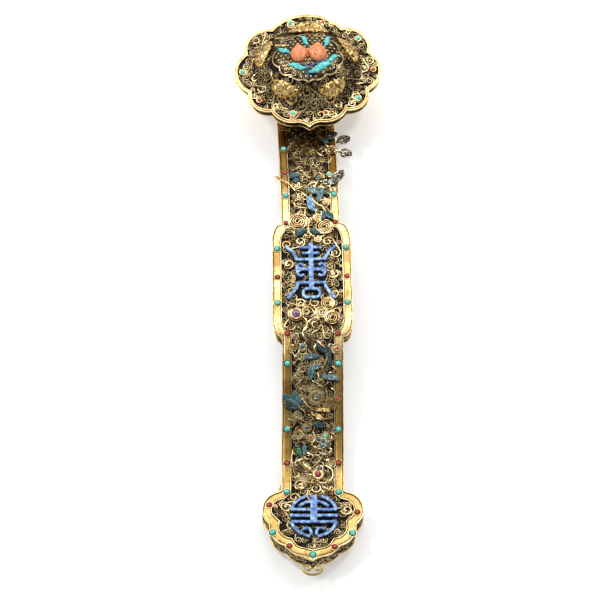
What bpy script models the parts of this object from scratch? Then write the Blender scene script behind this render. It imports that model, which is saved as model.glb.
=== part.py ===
"""A gilt filigree sceptre of the ruyi form, set with stones and enamel, lying on its back.

Most pieces are drawn flat, as across (x), along (s, measured from the tip of the foot) and height
above the face (h). bend() then carries the pieces of the shaft onto the curved spine, and drape()
lays the pieces of the head over its dome. The head's pieces hang from one tilted empty.
"""

import math

import bmesh
import bpy
from mathutils import Euler, Vector

MM = 0.001

# Fits
TOUCH = 0.3 * MM            # gap kept between two pieces that touch
WELD = 0.06 * MM            # corners closer than this are one corner

# Shaft, a flat box 12 mm deep with a sunk filigree field between two polished borders
SHAFT_WIDTH = 41.6 * MM
SHAFT_DEPTH = 12.0 * MM
BORDER_WIDTH = 6.4 * MM
FIELD_SINK = 1.5 * MM

# Wide panel in the middle of the shaft
PANEL_WIDTH = 55.2 * MM
PANEL_START = 162.0 * MM
PANEL_END = 254.0 * MM
PANEL_SHOULDER = 15.0 * MM
PANEL_NOTCH = 1.0 * MM
FIELD_DROP = 2.8 * MM       # the field's wide part is this much shorter than the panel at each end
FIELD_SHOULDER = 13.9 * MM

# Foot plate, five lobes and a cusp at the tip
FOOT_SHOULDER = (21.7 * MM, 52.6 * MM)
FOOT_SIDE_CORNER = (28.3 * MM, 27.2 * MM)
FOOT_LOW_CORNER = (17.8 * MM, 11.2 * MM)
FOOT_CUSP_START = (6.5 * MM, 3.4 * MM)
FOOT_SIDE_BULGE = 8.2 * MM
FOOT_LOW_BULGE = 3.6 * MM
FOOT_TIP_BULGE = 1.7 * MM
CUSP_HOLLOW = 0.5 * MM

# Spine: slope in degrees at stations along the face, and its slight lean to the left
SPINE_SLOPES = (
    (0.0 * MM, -3.0),
    (50.0 * MM, -7.5),
    (75.0 * MM, 4.5),
    (110.0 * MM, 16.5),
    (145.0 * MM, 10.0),
    (180.0 * MM, 1.0),
    (205.0 * MM, -5.0),
    (235.0 * MM, -1.5),
    (265.0 * MM, -2.0),
    (300.0 * MM, -10.5),
    (345.0 * MM, -9.0),
    (357.0 * MM, 0.0),
    (385.0 * MM, 58.0),
    (412.0 * MM, 66.0),
)
SPINE_LEANS = (
    (0.0 * MM, 0.0),
    (150.0 * MM, 0.0),
    (345.0 * MM, 3.0),
    (412.0 * MM, 1.0),
)
SPINE_STEP = 1.0 * MM
NECK_LOW = 357.0 * MM       # station of the lowest point of the neck
BEND_ANGLE = 5.0            # a flat piece is cut across wherever the spine has turned this much
BEND_SPACING = 14.0 * MM    # or run this far
LAND_SHAVE = 0.35 * MM      # taken off the lowest points of the back so that it rests flat

# Head plate, nine lobes and a cusp that points down the shaft
HEAD_TOP_CORNER = (26.0 * MM, 36.0 * MM)
HEAD_UPPER_CORNER = (45.8 * MM, 14.5 * MM)
HEAD_LOWER_CORNER = (43.4 * MM, -19.0 * MM)
HEAD_BASE_CORNER = (27.0 * MM, -35.7 * MM)
HEAD_CUSP_START = (8.0 * MM, -45.0 * MM)
HEAD_CUSP_TIP = -49.5 * MM
HEAD_TOP_BULGE = 12.5 * MM
HEAD_UPPER_BULGE = 7.5 * MM
HEAD_SIDE_BULGE = 8.8 * MM
HEAD_LOWER_BULGE = 5.8 * MM
HEAD_BASE_BULGE = 3.5 * MM
HEAD_CUSP_HOLLOW = 1.0 * MM
HEAD_WALL = 5.8 * MM
HEAD_RIM = 2.2 * MM
HEAD_SINK = 1.2 * MM
HEAD_TILT = 3.0             # degrees, the far edge higher
HEAD_TURN = 1.5             # degrees to the left
HEAD_SIDE_STEP = 2.1 * MM   # from the neck's lowest point to the middle of the head plate
HEAD_REACH = 24.0 * MM
HEAD_RISE = 23.3 * MM
DOME_HALF_WIDTH = 38.0 * MM
DOME_HALF_LENGTH = 34.0 * MM
DOME_HEIGHT = 15.5 * MM
DRAPE_SPACING = 8.0 * MM

# Medallion on the dome
MEDALLION_WIDTH = 50.6 * MM
MEDALLION_LENGTH = 43.4 * MM
MEDALLION_SHIFT = 2.9 * MM
MEDALLION_THICK = 1.0 * MM
DRAPE_SAG = 0.2 * MM        # how far a flat facet can dip below the dome it spans
MEDALLION_LIFT = TOUCH + DRAPE_SAG
MEDALLION_TOP = MEDALLION_LIFT + MEDALLION_THICK + TOUCH

# Stones
STONE_PITCH = 22.7 * MM
STONE_FIRST = 51.5 * MM
STONE_ROWS = 14
CORAL_STEP = -1.2 * MM      # the coral ones sit this far from the even spacing, towards the foot
STONE_RADIUS = 2.7 * MM
STONE_HEIGHT = 2.6 * MM
STONE_INSET = 0.6 * MM       # the stones sit this far in from the middle of the border
STONES_HIDDEN = (("left", 3), ("right", 11), ("right", 12))
FOOT_STONES = (
    ("foot_stone_left_side", -28.4 * MM, 41.5 * MM, "coral"),
    ("foot_stone_left_low", -26.0 * MM, 20.8 * MM, "turquoise"),
    ("foot_stone_left_tip", -15.2 * MM, 10.9 * MM, "coral"),
    ("foot_stone_tip", 0.0 * MM, 4.6 * MM, "turquoise"),
    ("foot_stone_right_tip", 14.2 * MM, 10.3 * MM, "coral"),
    ("foot_stone_right_low", 25.7 * MM, 20.4 * MM, "turquoise"),
    ("foot_stone_right_side", 28.9 * MM, 36.0 * MM, "coral"),
)
HEAD_STONES = (
    (11.7 * MM, 40.8 * MM),
    (37.2 * MM, 26.2 * MM),
    (47.2 * MM, -1.0 * MM),
    (35.6 * MM, -25.3 * MM),
    (11.7 * MM, -37.1 * MM),
)

# Ornaments that stand over the face
EMBLEM_LOW = 0.2 * MM
EMBLEM_HIGH = 1.7 * MM
STROKE = 2.1 * MM
LONG_EMBLEM_RISE = 28.5 * MM      # from the low end of the panel
LONG_EMBLEM_AXIS = -0.6 * MM
LONG_EMBLEM_KNOT = (24.6 * MM, 3.0 * MM)    # height and reach of the lozenge in its middle
ROUND_EMBLEM_CENTRE = (0.7 * MM, 33.2 * MM)
ROUND_EMBLEM_RADIUS = 16.6 * MM
ROUND_BAR_PITCH = 4.6 * MM
ROUND_BROW_RADIUS = 13.8 * MM
ROUND_BROW_DROP = 2.8 * MM
ROUND_UPRIGHT_WIDTH = 4.4 * MM
ROUND_TOP_GAP = 18.0          # degrees left open each side of the upright, at the top
ROUND_LOW_GAP = 9.0           # and at the foot
LONG_POSTS = (41.0, 16.0)     # heights of the posts under the long emblem, in millimetres
SPRAY_LOW = 0.5 * MM
POST_RADIUS = 0.9 * MM
STEM_WIDTH = 1.3 * MM

# Loop at the foot for a tassel
LOOP_WIDTH = 13.6 * MM
LOOP_LENGTH = 9.6 * MM
LOOP_WIRE = 0.75 * MM
LOOP_DROP = 2.8 * MM

# Bats and peaches on the head
BAT_THICK = 1.5 * MM
BATS = (
    ("bat_top", 0.9 * MM, 34.2 * MM, 31.0 * MM, 0.0),
    ("bat_left", -32.8 * MM, 11.5 * MM, 25.5 * MM, 68.0),
    ("bat_right", 31.2 * MM, 13.8 * MM, 25.0 * MM, -60.0),
    ("bat_lower_left", -18.6 * MM, -21.6 * MM, 23.5 * MM, 150.0),
    ("bat_lower_right", 18.0 * MM, -21.8 * MM, 22.5 * MM, -150.0),
)
PEACH_THICK = 4.6 * MM
PEACH_TIP = 0.85              # how much of the width is gone at the tip
# Name, middle, width, length and turn in degrees
PEACHES = (
    ("peach_left", -6.3 * MM, 3.2 * MM, 12.0 * MM, 14.4 * MM, 6.0),
    ("peach_right", 7.0 * MM, 4.4 * MM, 12.6 * MM, 16.4 * MM, -3.0),
)

COLOURS = {
    "gilt_silver": ("C8A15A", 1.0, 0.35),
    "gilt_relief": ("D9B667", 1.0, 0.32),
    "turquoise": ("4FD6C0", 0.0, 0.35),
    "coral": ("B5402F", 0.0, 0.25),
    "peach_coral": ("E8735A", 0.0, 0.35),
    "leaf_turquoise": ("45D3CF", 0.0, 0.4),
    "blue_enamel": ("7F9BE0", 0.0, 0.3),
    "teal_enamel": ("4C7B80", 0.0, 0.35),
    "gilt_wire": ("A98546", 1.0, 0.4),
}


def clear_scene():
    for item in list(bpy.data.objects):
        bpy.data.objects.remove(item, do_unlink=True)


def linear(value):
    return value / 12.92 if value <= 0.04045 else ((value + 0.055) / 1.055) ** 2.4


def material(name):
    """The Principled material of this name, made once."""
    if name in bpy.data.materials:
        return bpy.data.materials[name]
    colour, metallic, roughness = COLOURS[name]
    channels = [linear(int(colour[i:i + 2], 16) / 255.0) for i in (0, 2, 4)]
    made = bpy.data.materials.new(name)
    made.use_nodes = True
    shader = made.node_tree.nodes["Principled BSDF"]
    shader.inputs["Base Color"].default_value = (*channels, 1.0)
    shader.inputs["Metallic"].default_value = metallic
    shader.inputs["Roughness"].default_value = roughness
    return made


# Outlines

def arc(start, end, bulge, count=8):
    """Points of a round arc from start up to end, which is left out. It bulges to the right of
    the way from start to end, or to the left with a negative bulge."""
    a, b = Vector(start), Vector(end)
    chord = b - a
    half = chord.length / 2
    right = Vector((chord.y, -chord.x)).normalized()
    radius = (half * half + bulge * bulge) / (2 * abs(bulge))
    middle = (a + b) / 2 + right * (bulge - math.copysign(radius, bulge))
    first = math.atan2(a.y - middle.y, a.x - middle.x)
    last = math.atan2(b.y - middle.y, b.x - middle.x)
    sweep = (last - first) % math.tau
    if bulge < 0:
        sweep -= math.tau
    angles = [first + sweep * i / count for i in range(count)]
    return [(middle.x + radius * math.cos(t), middle.y + radius * math.sin(t)) for t in angles]


def mirrored(half):
    """A closed outline from its right half, which runs anticlockwise from tip to tip."""
    on_axis = 0.01 * MM
    right = [(x if x > on_axis else 0.0, y) for x, y in half]
    left = [(-x, y) for x, y in reversed(right) if x > on_axis]
    return right + left


def quarter(start, end, count=5):
    """A quarter ellipse that leaves start along y and reaches end along x."""
    points = []
    for i in range(count):
        t = math.pi / 2 * i / count
        x = end[0] + (start[0] - end[0]) * math.cos(t)
        y = start[1] + (end[1] - start[1]) * math.sin(t)
        points.append((x, y))
    return points


def foot_half():
    """Right half of the foot's outline, from the cusp to the shaft."""
    half = arc((0.0, 0.0), FOOT_CUSP_START, -CUSP_HOLLOW, 2)
    half += arc(FOOT_CUSP_START, FOOT_LOW_CORNER, FOOT_TIP_BULGE, 4)
    half += arc(FOOT_LOW_CORNER, FOOT_SIDE_CORNER, FOOT_LOW_BULGE, 5)
    half += arc(FOOT_SIDE_CORNER, FOOT_SHOULDER, FOOT_SIDE_BULGE, 7)
    return half + [FOOT_SHOULDER, (SHAFT_WIDTH / 2, FOOT_SHOULDER[1] + PANEL_NOTCH)]


def panel_half(border, drop, shoulder):
    """Right side of the shaft above the foot, this far inside the outline. The panel's corners
    start at a drop inside its ends and are elongated quarter arcs as long as shoulder."""
    side = SHAFT_WIDTH / 2 - border
    wide = PANEL_WIDTH / 2 - border
    low, high = PANEL_START + drop, PANEL_END - drop
    half = [(side, low), (side + PANEL_NOTCH, low)]
    half += quarter((wide, low + shoulder), (side + PANEL_NOTCH, low))[::-1]
    half += quarter((wide, high - shoulder), (side + PANEL_NOTCH, high))
    return half + [(side + PANEL_NOTCH, high), (side, high), (side, SPINE_SLOPES[-1][0] - border)]


def shaft_outline():
    """Outline of foot, shaft and neck, right half first, anticlockwise."""
    return mirrored(foot_half() + panel_half(0.0, 0.0, PANEL_SHOULDER))


def shaft_field_outline():
    """Outline of the sunk field within the border, point for point inside shaft_outline()."""
    foot = foot_half()
    inside = inset(mirrored(foot + [(SHAFT_WIDTH / 2, PANEL_START)]), BORDER_WIDTH)[:len(foot)]
    return mirrored(inside + panel_half(BORDER_WIDTH, FIELD_DROP, FIELD_SHOULDER))


def head_outline():
    """Outline of the head plate about its own middle, anticlockwise from the cusp."""
    half = arc((0.0, HEAD_CUSP_TIP), HEAD_CUSP_START, -HEAD_CUSP_HOLLOW, 2)
    half += arc(HEAD_CUSP_START, HEAD_BASE_CORNER, HEAD_BASE_BULGE, 3)
    half += arc(HEAD_BASE_CORNER, HEAD_LOWER_CORNER, HEAD_LOWER_BULGE, 4)
    half += arc(HEAD_LOWER_CORNER, HEAD_UPPER_CORNER, HEAD_SIDE_BULGE, 6)
    half += arc(HEAD_UPPER_CORNER, HEAD_TOP_CORNER, HEAD_UPPER_BULGE, 5)
    left_corner = (-HEAD_TOP_CORNER[0], HEAD_TOP_CORNER[1])
    half += arc(HEAD_TOP_CORNER, left_corner, HEAD_TOP_BULGE, 8)[:5]
    return mirrored(half)


def inset(outline, distance):
    """The outline moved inwards by distance, with mitred corners."""
    points = [Vector(p) for p in outline]
    moved = []
    for i, here in enumerate(points):
        before = (here - points[i - 1]).normalized()
        after = (points[(i + 1) % len(points)] - here).normalized()
        left_before = Vector((-before.y, before.x))
        left_after = Vector((-after.y, after.x))
        mitre = left_before + left_after
        reach = distance / max(0.35, mitre.dot(left_before))
        place = here + mitre * reach
        moved.append((place.x, place.y))
    return moved


def leaf_outline(x, y, length, width, angle, count=4):
    """A leaf with two pointed ends about (x, y), turned by angle degrees from x."""
    turn = math.radians(angle)
    points = []
    for side in (-1, 1):
        for i in range(count):
            t = i / count
            along = length * (t - 0.5) * -side
            out = width / 2 * math.sin(math.pi * t) * side
            points.append((x + along * math.cos(turn) - out * math.sin(turn),
                           y + along * math.sin(turn) + out * math.cos(turn)))
    return points


def disc_outline(x, y, radius, count=10):
    angles = [math.tau * i / count for i in range(count)]
    return [(x + radius * math.cos(t), y + radius * math.sin(t)) for t in angles]


def ribbon_outline(path, width):
    """The outline of a strip of this width along an open path."""
    points = [Vector(p) for p in path]
    right, left = [], []
    for i, here in enumerate(points):
        before = points[max(i - 1, 0)]
        after = points[min(i + 1, len(points) - 1)]
        way = (after - before).normalized()
        across = Vector((way.y, -way.x)) * width / 2
        right.append(tuple(here + across))
        left.append(tuple(here - across))
    return right + left[::-1]


def arc_path(centre, radius, first, last, count=6):
    """Points on a circle from one angle to another, in degrees, both ends kept."""
    angles = [math.radians(first + (last - first) * i / count) for i in range(count + 1)]
    return [(centre[0] + radius * math.cos(t), centre[1] + radius * math.sin(t)) for t in angles]


# Solids

def place_mesh(name, mesh, parts):
    item = bpy.data.objects.new(name, mesh)
    parts.objects.link(item)
    return item


def evaluated_copy(item):
    graph = bpy.context.evaluated_depsgraph_get()
    return bpy.data.meshes.new_from_object(item.evaluated_get(graph))


def tidy_mesh(mesh):
    """Weld the seams and turn the faces outwards."""
    work = bmesh.new()
    work.from_mesh(mesh)
    bmesh.ops.remove_doubles(work, verts=work.verts, dist=0.005 * MM)
    bmesh.ops.recalc_face_normals(work, faces=work.faces)
    work.to_mesh(mesh)
    work.free()


def slab(outline, low, high, parts):
    """A flat piece with this outline between two heights."""
    curve = bpy.data.curves.new("outline", "CURVE")
    curve.dimensions = "2D"
    curve.fill_mode = "BOTH"
    curve.extrude = (high - low) / 2
    spline = curve.splines.new("POLY")
    spline.points.add(len(outline) - 1)
    spline.use_cyclic_u = True
    for point, place in zip(spline.points, outline):
        point.co = (place[0], place[1], 0.0, 1.0)
    drawn = place_mesh("outline", curve, parts)
    mesh = evaluated_copy(drawn)
    bpy.data.objects.remove(drawn, do_unlink=True)
    tidy_mesh(mesh)
    for vertex in mesh.vertices:
        vertex.co.z += (low + high) / 2
    return place_mesh("slab", mesh, parts)


def turned(profile, segments, parts):
    """A solid of revolution about Z from a profile that runs from top to bottom."""
    mesh = bpy.data.meshes.new("turned")
    edges = [(i, i + 1) for i in range(len(profile) - 1)]
    mesh.from_pydata([(r, 0.0, z) for r, z in profile], edges, [])
    item = place_mesh("turned", mesh, parts)
    screw = item.modifiers.new("turn", "SCREW")
    screw.steps = segments
    screw.render_steps = segments
    screw.use_merge_vertices = True
    screw.merge_threshold = 0.005 * MM
    solid = evaluated_copy(item)
    bpy.data.objects.remove(item, do_unlink=True)
    tidy_mesh(solid)
    return place_mesh("turned", solid, parts)


def combine(target, other, operation):
    """Apply one exact Boolean to target and drop the other piece."""
    boolean = target.modifiers.new("combine", "BOOLEAN")
    boolean.solver = "EXACT"
    boolean.operation = operation
    boolean.object = other
    mesh = evaluated_copy(target)
    target.modifiers.clear()
    target.data = mesh
    bpy.data.objects.remove(other, do_unlink=True)
    return target


def clean_cut(item):
    """Weld what a Boolean leaves closer together than WELD, and drop the slivers."""
    work = bmesh.new()
    work.from_mesh(item.data)
    bmesh.ops.remove_doubles(work, verts=work.verts, dist=WELD)
    bmesh.ops.dissolve_degenerate(work, edges=work.edges, dist=WELD)
    bmesh.ops.triangulate(work, faces=work.faces)
    bmesh.ops.dissolve_degenerate(work, edges=work.edges, dist=WELD)
    bmesh.ops.recalc_face_normals(work, faces=work.faces)
    work.to_mesh(item.data)
    work.free()


def join_all(pieces):
    """One body from pieces that overlap."""
    body = pieces[0]
    for piece in pieces[1:]:
        body = combine(body, piece, "UNION")
    return body


def cross_cut(item, cuts):
    """Cut a flat piece across at each (axis, station) so that it can bend, in triangles."""
    work = bmesh.new()
    work.from_mesh(item.data)
    bmesh.ops.remove_doubles(work, verts=work.verts, dist=0.005 * MM)
    bmesh.ops.dissolve_limit(work, angle_limit=math.radians(0.5), verts=work.verts,
                             edges=work.edges)
    lowest = [min(v.co[axis] for v in work.verts) for axis in (0, 1)]
    highest = [max(v.co[axis] for v in work.verts) for axis in (0, 1)]
    for axis, station in cuts:
        if lowest[axis] < station < highest[axis]:
            normal = Vector((0.0, 0.0, 0.0))
            normal[axis] = 1.0
            everything = work.verts[:] + work.edges[:] + work.faces[:]
            bmesh.ops.bisect_plane(work, geom=everything, dist=0.01 * MM,
                                   plane_co=normal * station, plane_no=normal)
    bmesh.ops.dissolve_degenerate(work, edges=work.edges, dist=0.01 * MM)
    bmesh.ops.triangulate(work, faces=work.faces)
    work.to_mesh(item.data)
    work.free()


# The spine

def at_station(table, station):
    """The value of a table of stations at one station, by straight lines between them."""
    if station <= table[0][0]:
        return table[0][1]
    for (s0, v0), (s1, v1) in zip(table, table[1:]):
        if station <= s1:
            return v0 + (v1 - v0) * (station - s0) / (s1 - s0)
    return table[-1][1]


def spine_frames(pitch):
    """Point, side, way and normal at every step along the face, with pitch added to the slope."""
    frames = []
    point = Vector((0.0, 0.0, 0.0))
    count = math.ceil(SPINE_SLOPES[-1][0] / SPINE_STEP) + 1
    for i in range(count + 1):
        station = i * SPINE_STEP
        slope = math.radians(at_station(SPINE_SLOPES, station)) + pitch
        lean = math.radians(at_station(SPINE_LEANS, station))
        way = Vector((-math.sin(lean) * math.cos(slope),
                      math.cos(lean) * math.cos(slope),
                      math.sin(slope)))
        side = Vector((math.cos(lean), math.sin(lean), 0.0))
        frames.append((point.copy(), side, way, side.cross(way)))
        point += way * SPINE_STEP
    return frames


def on_frames(frames, x, s, h):
    """World point of the flat point (x, s, h)."""
    index = min(max(int(s / SPINE_STEP), 0), len(frames) - 2)
    rest = s - index * SPINE_STEP
    point, side, way, normal = frames[index]
    blend = min(max(rest / SPINE_STEP, 0.0), 1.0)
    side = side.lerp(frames[index + 1][1], blend)
    normal = normal.lerp(frames[index + 1][3], blend)
    return point + way * rest + side * x + normal * h


def lowest_back(frames, first, last):
    """The lowest point of the shaft's back between two stations."""
    count = int((last - first) / SPINE_STEP)
    stations = [first + i * SPINE_STEP for i in range(count + 1)]
    return min((on_frames(frames, 0.0, s, -SHAFT_DEPTH) for s in stations), key=lambda p: p.z)


def level_spine():
    """Frames pitched so that the back touches the table under the foot and under the neck."""
    middle = (PANEL_START + PANEL_END) / 2
    pitch = 0.0
    for _ in range(12):
        frames = spine_frames(pitch)
        foot = lowest_back(frames, 0.0, middle)
        neck = lowest_back(frames, middle, SPINE_SLOPES[-1][0])
        pitch += (foot.z - neck.z) / (neck.y - foot.y)
    frames = spine_frames(pitch)
    drop = lowest_back(frames, 0.0, middle).z + LAND_SHAVE
    start = Vector((0.0, 0.0, drop))
    return [(point - start, side, way, normal) for point, side, way, normal in frames]


def bend_stations():
    """Stations at which the spine has turned by BEND_ANGLE or run on by BEND_SPACING."""
    stations = [0.0]
    turned_by = 0.0
    station = SPINE_STEP
    while station < SPINE_SLOPES[-1][0]:
        before = at_station(SPINE_SLOPES, station - SPINE_STEP)
        turned_by += abs(at_station(SPINE_SLOPES, station) - before)
        if turned_by >= BEND_ANGLE or station - stations[-1] >= BEND_SPACING:
            stations.append(station)
            turned_by = 0.0
        station += SPINE_STEP
    return stations


def bend(item, frames):
    """Carry a flat piece of the shaft onto the spine."""
    cross_cut(item, [(1, station) for station in bend_stations()])
    for vertex in item.data.vertices:
        x, s, h = vertex.co
        vertex.co = on_frames(frames, x, s, h)
    item.data.update()


# The head

def dome_height(x, y):
    """Height of the head's ground above the rim, over the dome and on the sunk floor."""
    share = (x / DOME_HALF_WIDTH) ** 2 + (y / DOME_HALF_LENGTH) ** 2
    return max(DOME_HEIGHT * (1 - share), -HEAD_SINK)


def drape(item, lift):
    """Lay a flat piece over the dome, with its underside raised by lift."""
    reach = math.ceil(HEAD_TOP_CORNER[0] * 2 / DRAPE_SPACING)
    stations = [i * DRAPE_SPACING for i in range(-reach, reach + 1)]
    cross_cut(item, [(axis, station) for axis in (0, 1) for station in stations])
    for vertex in item.data.vertices:
        vertex.co.z += dome_height(vertex.co.x, vertex.co.y) + lift
    item.data.update()


def finish(item, name, colour, sharp=35.0):
    """Name the piece, give it its material and shade it smooth between sharp edges."""
    item.name = name
    item.data.name = name
    item.data.materials.clear()
    item.data.materials.append(material(colour))
    item.data.shade_smooth()
    item.data.set_sharp_from_angle(angle=math.radians(sharp))
    return item


# Pieces of the shaft

def boxed_case(outline, field, depth, sink, parts):
    """A flat box whose face has a raised rim round a sunk field."""
    levels = ((field, -sink), (field, 0.0), (outline, 0.0), (outline, -depth))
    work = bmesh.new()
    corners = [work.verts.new((x, y, levels[0][1])) for x, y in field]
    ring = [work.edges.new((v, corners[i - 1])) for i, v in enumerate(corners)]
    caps = [work.faces.new(corners)]
    for points, height in levels[1:]:
        made = bmesh.ops.extrude_edge_only(work, edges=ring)["geom"]
        corners = [item for item in made if isinstance(item, bmesh.types.BMVert)]
        edges = [item for item in made if isinstance(item, bmesh.types.BMEdge)]
        ring = [edge for edge in edges if set(edge.verts) <= set(corners)]
        for vertex, (x, y) in zip(corners, points):
            vertex.co = (x, y, height)
    caps += bmesh.ops.contextual_create(work, geom=ring)["faces"]
    bmesh.ops.triangulate(work, faces=caps)
    bmesh.ops.recalc_face_normals(work, faces=work.faces)
    mesh = bpy.data.meshes.new("case")
    work.to_mesh(mesh)
    work.free()
    return place_mesh("case", mesh, parts)


def head_underside_cutter(head, parts):
    """A block that fills all that lies above the head's underside, less the touch gap."""
    reach = HEAD_TOP_CORNER[1] + HEAD_TOP_BULGE
    half = HEAD_UPPER_CORNER[0] + HEAD_SIDE_BULGE
    outline = [(-half, -reach), (half, -reach), (half, reach), (-half, reach)]
    block = slab(outline, -HEAD_WALL - TOUCH, DOME_HEIGHT + SHAFT_WIDTH, parts)
    block.data.transform(head.matrix_world)
    return block


def make_shaft(frames, head, parts):
    body = boxed_case(shaft_outline(), shaft_field_outline(), SHAFT_DEPTH, FIELD_SINK, parts)
    bend(body, frames)
    body = combine(body, head_underside_cutter(head, parts), "DIFFERENCE")
    reach = SPINE_SLOPES[-1][0]
    table = slab([(-reach, -reach), (reach, -reach), (reach, reach * 2), (-reach, reach * 2)],
                 -SHAFT_DEPTH, 0.0, parts)
    body = combine(body, table, "DIFFERENCE")
    clean_cut(body)
    return finish(body, "shaft_case", "gilt_silver")


def make_stone(name, radius, height, colour, place, parts):
    """A low round cabochon standing on its foot at place, a point and two directions."""
    profile = [(0.0, height), (radius * 0.72, height * 0.7), (radius, 0.0), (0.0, 0.0)]
    stone = turned(profile, 8, parts)
    point, side, way = place
    matrix = Euler((0.0, 0.0, 0.0)).to_matrix()
    matrix.col[0] = side
    matrix.col[1] = way
    matrix.col[2] = side.cross(way)
    stone.location = point
    stone.rotation_euler = matrix.to_euler()
    return finish(stone, name, colour, 60.0)


def border_middle(station):
    """Distance of the line of stones from the axis at a station."""
    on_panel = PANEL_START + PANEL_NOTCH < station - STONE_RADIUS
    on_panel = on_panel and station + STONE_RADIUS < PANEL_END - PANEL_NOTCH
    width = PANEL_WIDTH if on_panel else SHAFT_WIDTH
    return (width - BORDER_WIDTH) / 2 - STONE_INSET


def stone_place(frames, x, s):
    index = min(int(s / SPINE_STEP), len(frames) - 2)
    point = on_frames(frames, x, s, TOUCH)
    return point, frames[index][1], frames[index][2]


def make_border_stones(frames, parts):
    for row in range(STONE_ROWS):
        station = STONE_FIRST + row * STONE_PITCH
        across = border_middle(station)
        colour = "turquoise"
        if row % 2 == 1:
            colour = "coral"
            station += CORAL_STEP
        for side, sign in (("left", -1), ("right", 1)):
            if (side, row) in STONES_HIDDEN:
                continue
            place = stone_place(frames, sign * across, station)
            name = f"border_stone_{side}_{row + 1:02d}"
            make_stone(name, STONE_RADIUS, STONE_HEIGHT, colour, place, parts)
    for name, x, s, colour in FOOT_STONES:
        make_stone(name, STONE_RADIUS, STONE_HEIGHT, colour, stone_place(frames, x, s), parts)


def strokes_solid(outlines, low, high, posts, parts):
    """One solid from flat strokes that cross, on round posts that stand on the sunk field."""
    pieces = []
    for outline in outlines:
        pieces.append(slab(outline, low, high, parts))
    for x, s in posts:
        top = (low + high) / 2
        pieces.append(slab(disc_outline(x, s, POST_RADIUS, 4), TOUCH - FIELD_SINK, top, parts))
    return join_all(pieces)


# Strokes of the emblems, (width, path) in millimetres, from the low end of the long emblem's
# axis and from the middle of the round one. Those of the sides stand mirrored as well.

LONG_MIDDLE_STROKES = (
    (3.4, ((0.0, 7.6), (0.0, 46.6))),
    (2.0, ((-7.6, 42.8), (7.6, 42.8))),
    (1.9, ((-6.2, 38.2), (6.2, 38.2))),
    (2.2, ((-9.8, 33.0), (9.8, 33.0))),
    (2.4, ((-8.4, 24.6), (8.4, 24.6))),
    (2.2, ((-9.4, 13.2), (9.4, 13.2))),
)
LONG_SIDE_STROKES = (
    (2.3, ((17.8, 44.2), (12.2, 39.4), (9.6, 32.6))),
    (2.0, ((8.2, 24.2), (9.8, 26.4), (9.0, 28.8), (6.8, 29.2), (5.4, 27.8))),
    (2.0, ((8.2, 25.0), (9.6, 22.4), (8.8, 19.8), (6.6, 19.0), (5.0, 20.4))),
    (2.2, ((9.2, 13.8), (9.9, 9.2), (12.8, 4.6), (16.4, 0.0))),
    (2.1, ((-0.5, 1.1), (3.8, 1.1), (5.6, 2.8), (5.6, 6.4), (3.8, 8.1), (-0.5, 8.1))),
)
ROUND_HOOK = (1.9, ((7.2, -10.6), (5.2, -9.2), (2.8, -9.6), (1.7, -12.0), (1.6, -14.4)))


def stroke_outline(stroke, origin, sign=1):
    """Outline of one stroke from its table, set at origin."""
    width, path = stroke
    points = [(origin[0] + sign * x * MM, origin[1] + y * MM) for x, y in path]
    return ribbon_outline(points, width * MM)


def make_long_emblem(frames, parts):
    """Openwork fret in the wide panel: an upright, cross bars, horns, curls, legs and a ring."""
    origin = (LONG_EMBLEM_AXIS, PANEL_START + LONG_EMBLEM_RISE)
    strokes = [stroke_outline(stroke, origin) for stroke in LONG_MIDDLE_STROKES]
    knot_height, knot_reach = LONG_EMBLEM_KNOT
    strokes.append(disc_outline(origin[0], origin[1] + knot_height, knot_reach, 4))
    for stroke in LONG_SIDE_STROKES:
        strokes += [stroke_outline(stroke, origin, sign) for sign in (1, -1)]
    posts = [(origin[0], origin[1] + station * MM) for station in LONG_POSTS]
    body = strokes_solid(strokes, EMBLEM_LOW, EMBLEM_HIGH, posts, parts)
    bend(body, frames)
    return finish(body, "emblem_long", "blue_enamel")


def make_round_emblem(frames, parts):
    """Openwork fret in the foot: arcs of a circle, three bars, an upright and two hooks."""
    x, y = ROUND_EMBLEM_CENTRE
    radius = ROUND_EMBLEM_RADIUS - STROKE / 2
    upright = [(x, y - ROUND_BAR_PITCH), (x, y + radius)]
    strokes = [ribbon_outline(upright, ROUND_UPRIGHT_WIDTH)]
    for step in (-1, 0, 1):
        s = y + step * ROUND_BAR_PITCH
        half = math.sqrt(radius ** 2 - (step * ROUND_BAR_PITCH) ** 2)
        strokes.append(ribbon_outline([(x - half, s), (x + half, s)], STROKE))
    bar_end = math.degrees(math.asin(ROUND_BAR_PITCH / radius))
    for first, last in ((bar_end, 90.0 - ROUND_TOP_GAP), (180.0 - bar_end, 90.0 + ROUND_TOP_GAP),
                        (-bar_end, ROUND_LOW_GAP - 90.0), (180.0 + bar_end, 270.0 - ROUND_LOW_GAP)):
        strokes.append(ribbon_outline(arc_path((x, y), radius, first, last), STROKE))
    brow = arc_path((x, y - ROUND_BROW_DROP), ROUND_BROW_RADIUS, 45.0, 135.0)
    strokes.append(ribbon_outline(brow, STROKE))
    strokes += [stroke_outline(ROUND_HOOK, (x, y), sign) for sign in (1, -1)]
    posts = [(x, y + ROUND_BAR_PITCH * 2), (x, y - ROUND_BAR_PITCH)]
    body = strokes_solid(strokes, EMBLEM_LOW, EMBLEM_HIGH, posts, parts)
    bend(body, frames)
    return finish(body, "emblem_round", "blue_enamel")


# Sprays of leaves, petals and flowers over the filigree, all in millimetres on the flat shaft:
# stems are paths, leaves and petals are (x, s, length, width, angle), bosses (x, s, radius, height)

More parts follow.
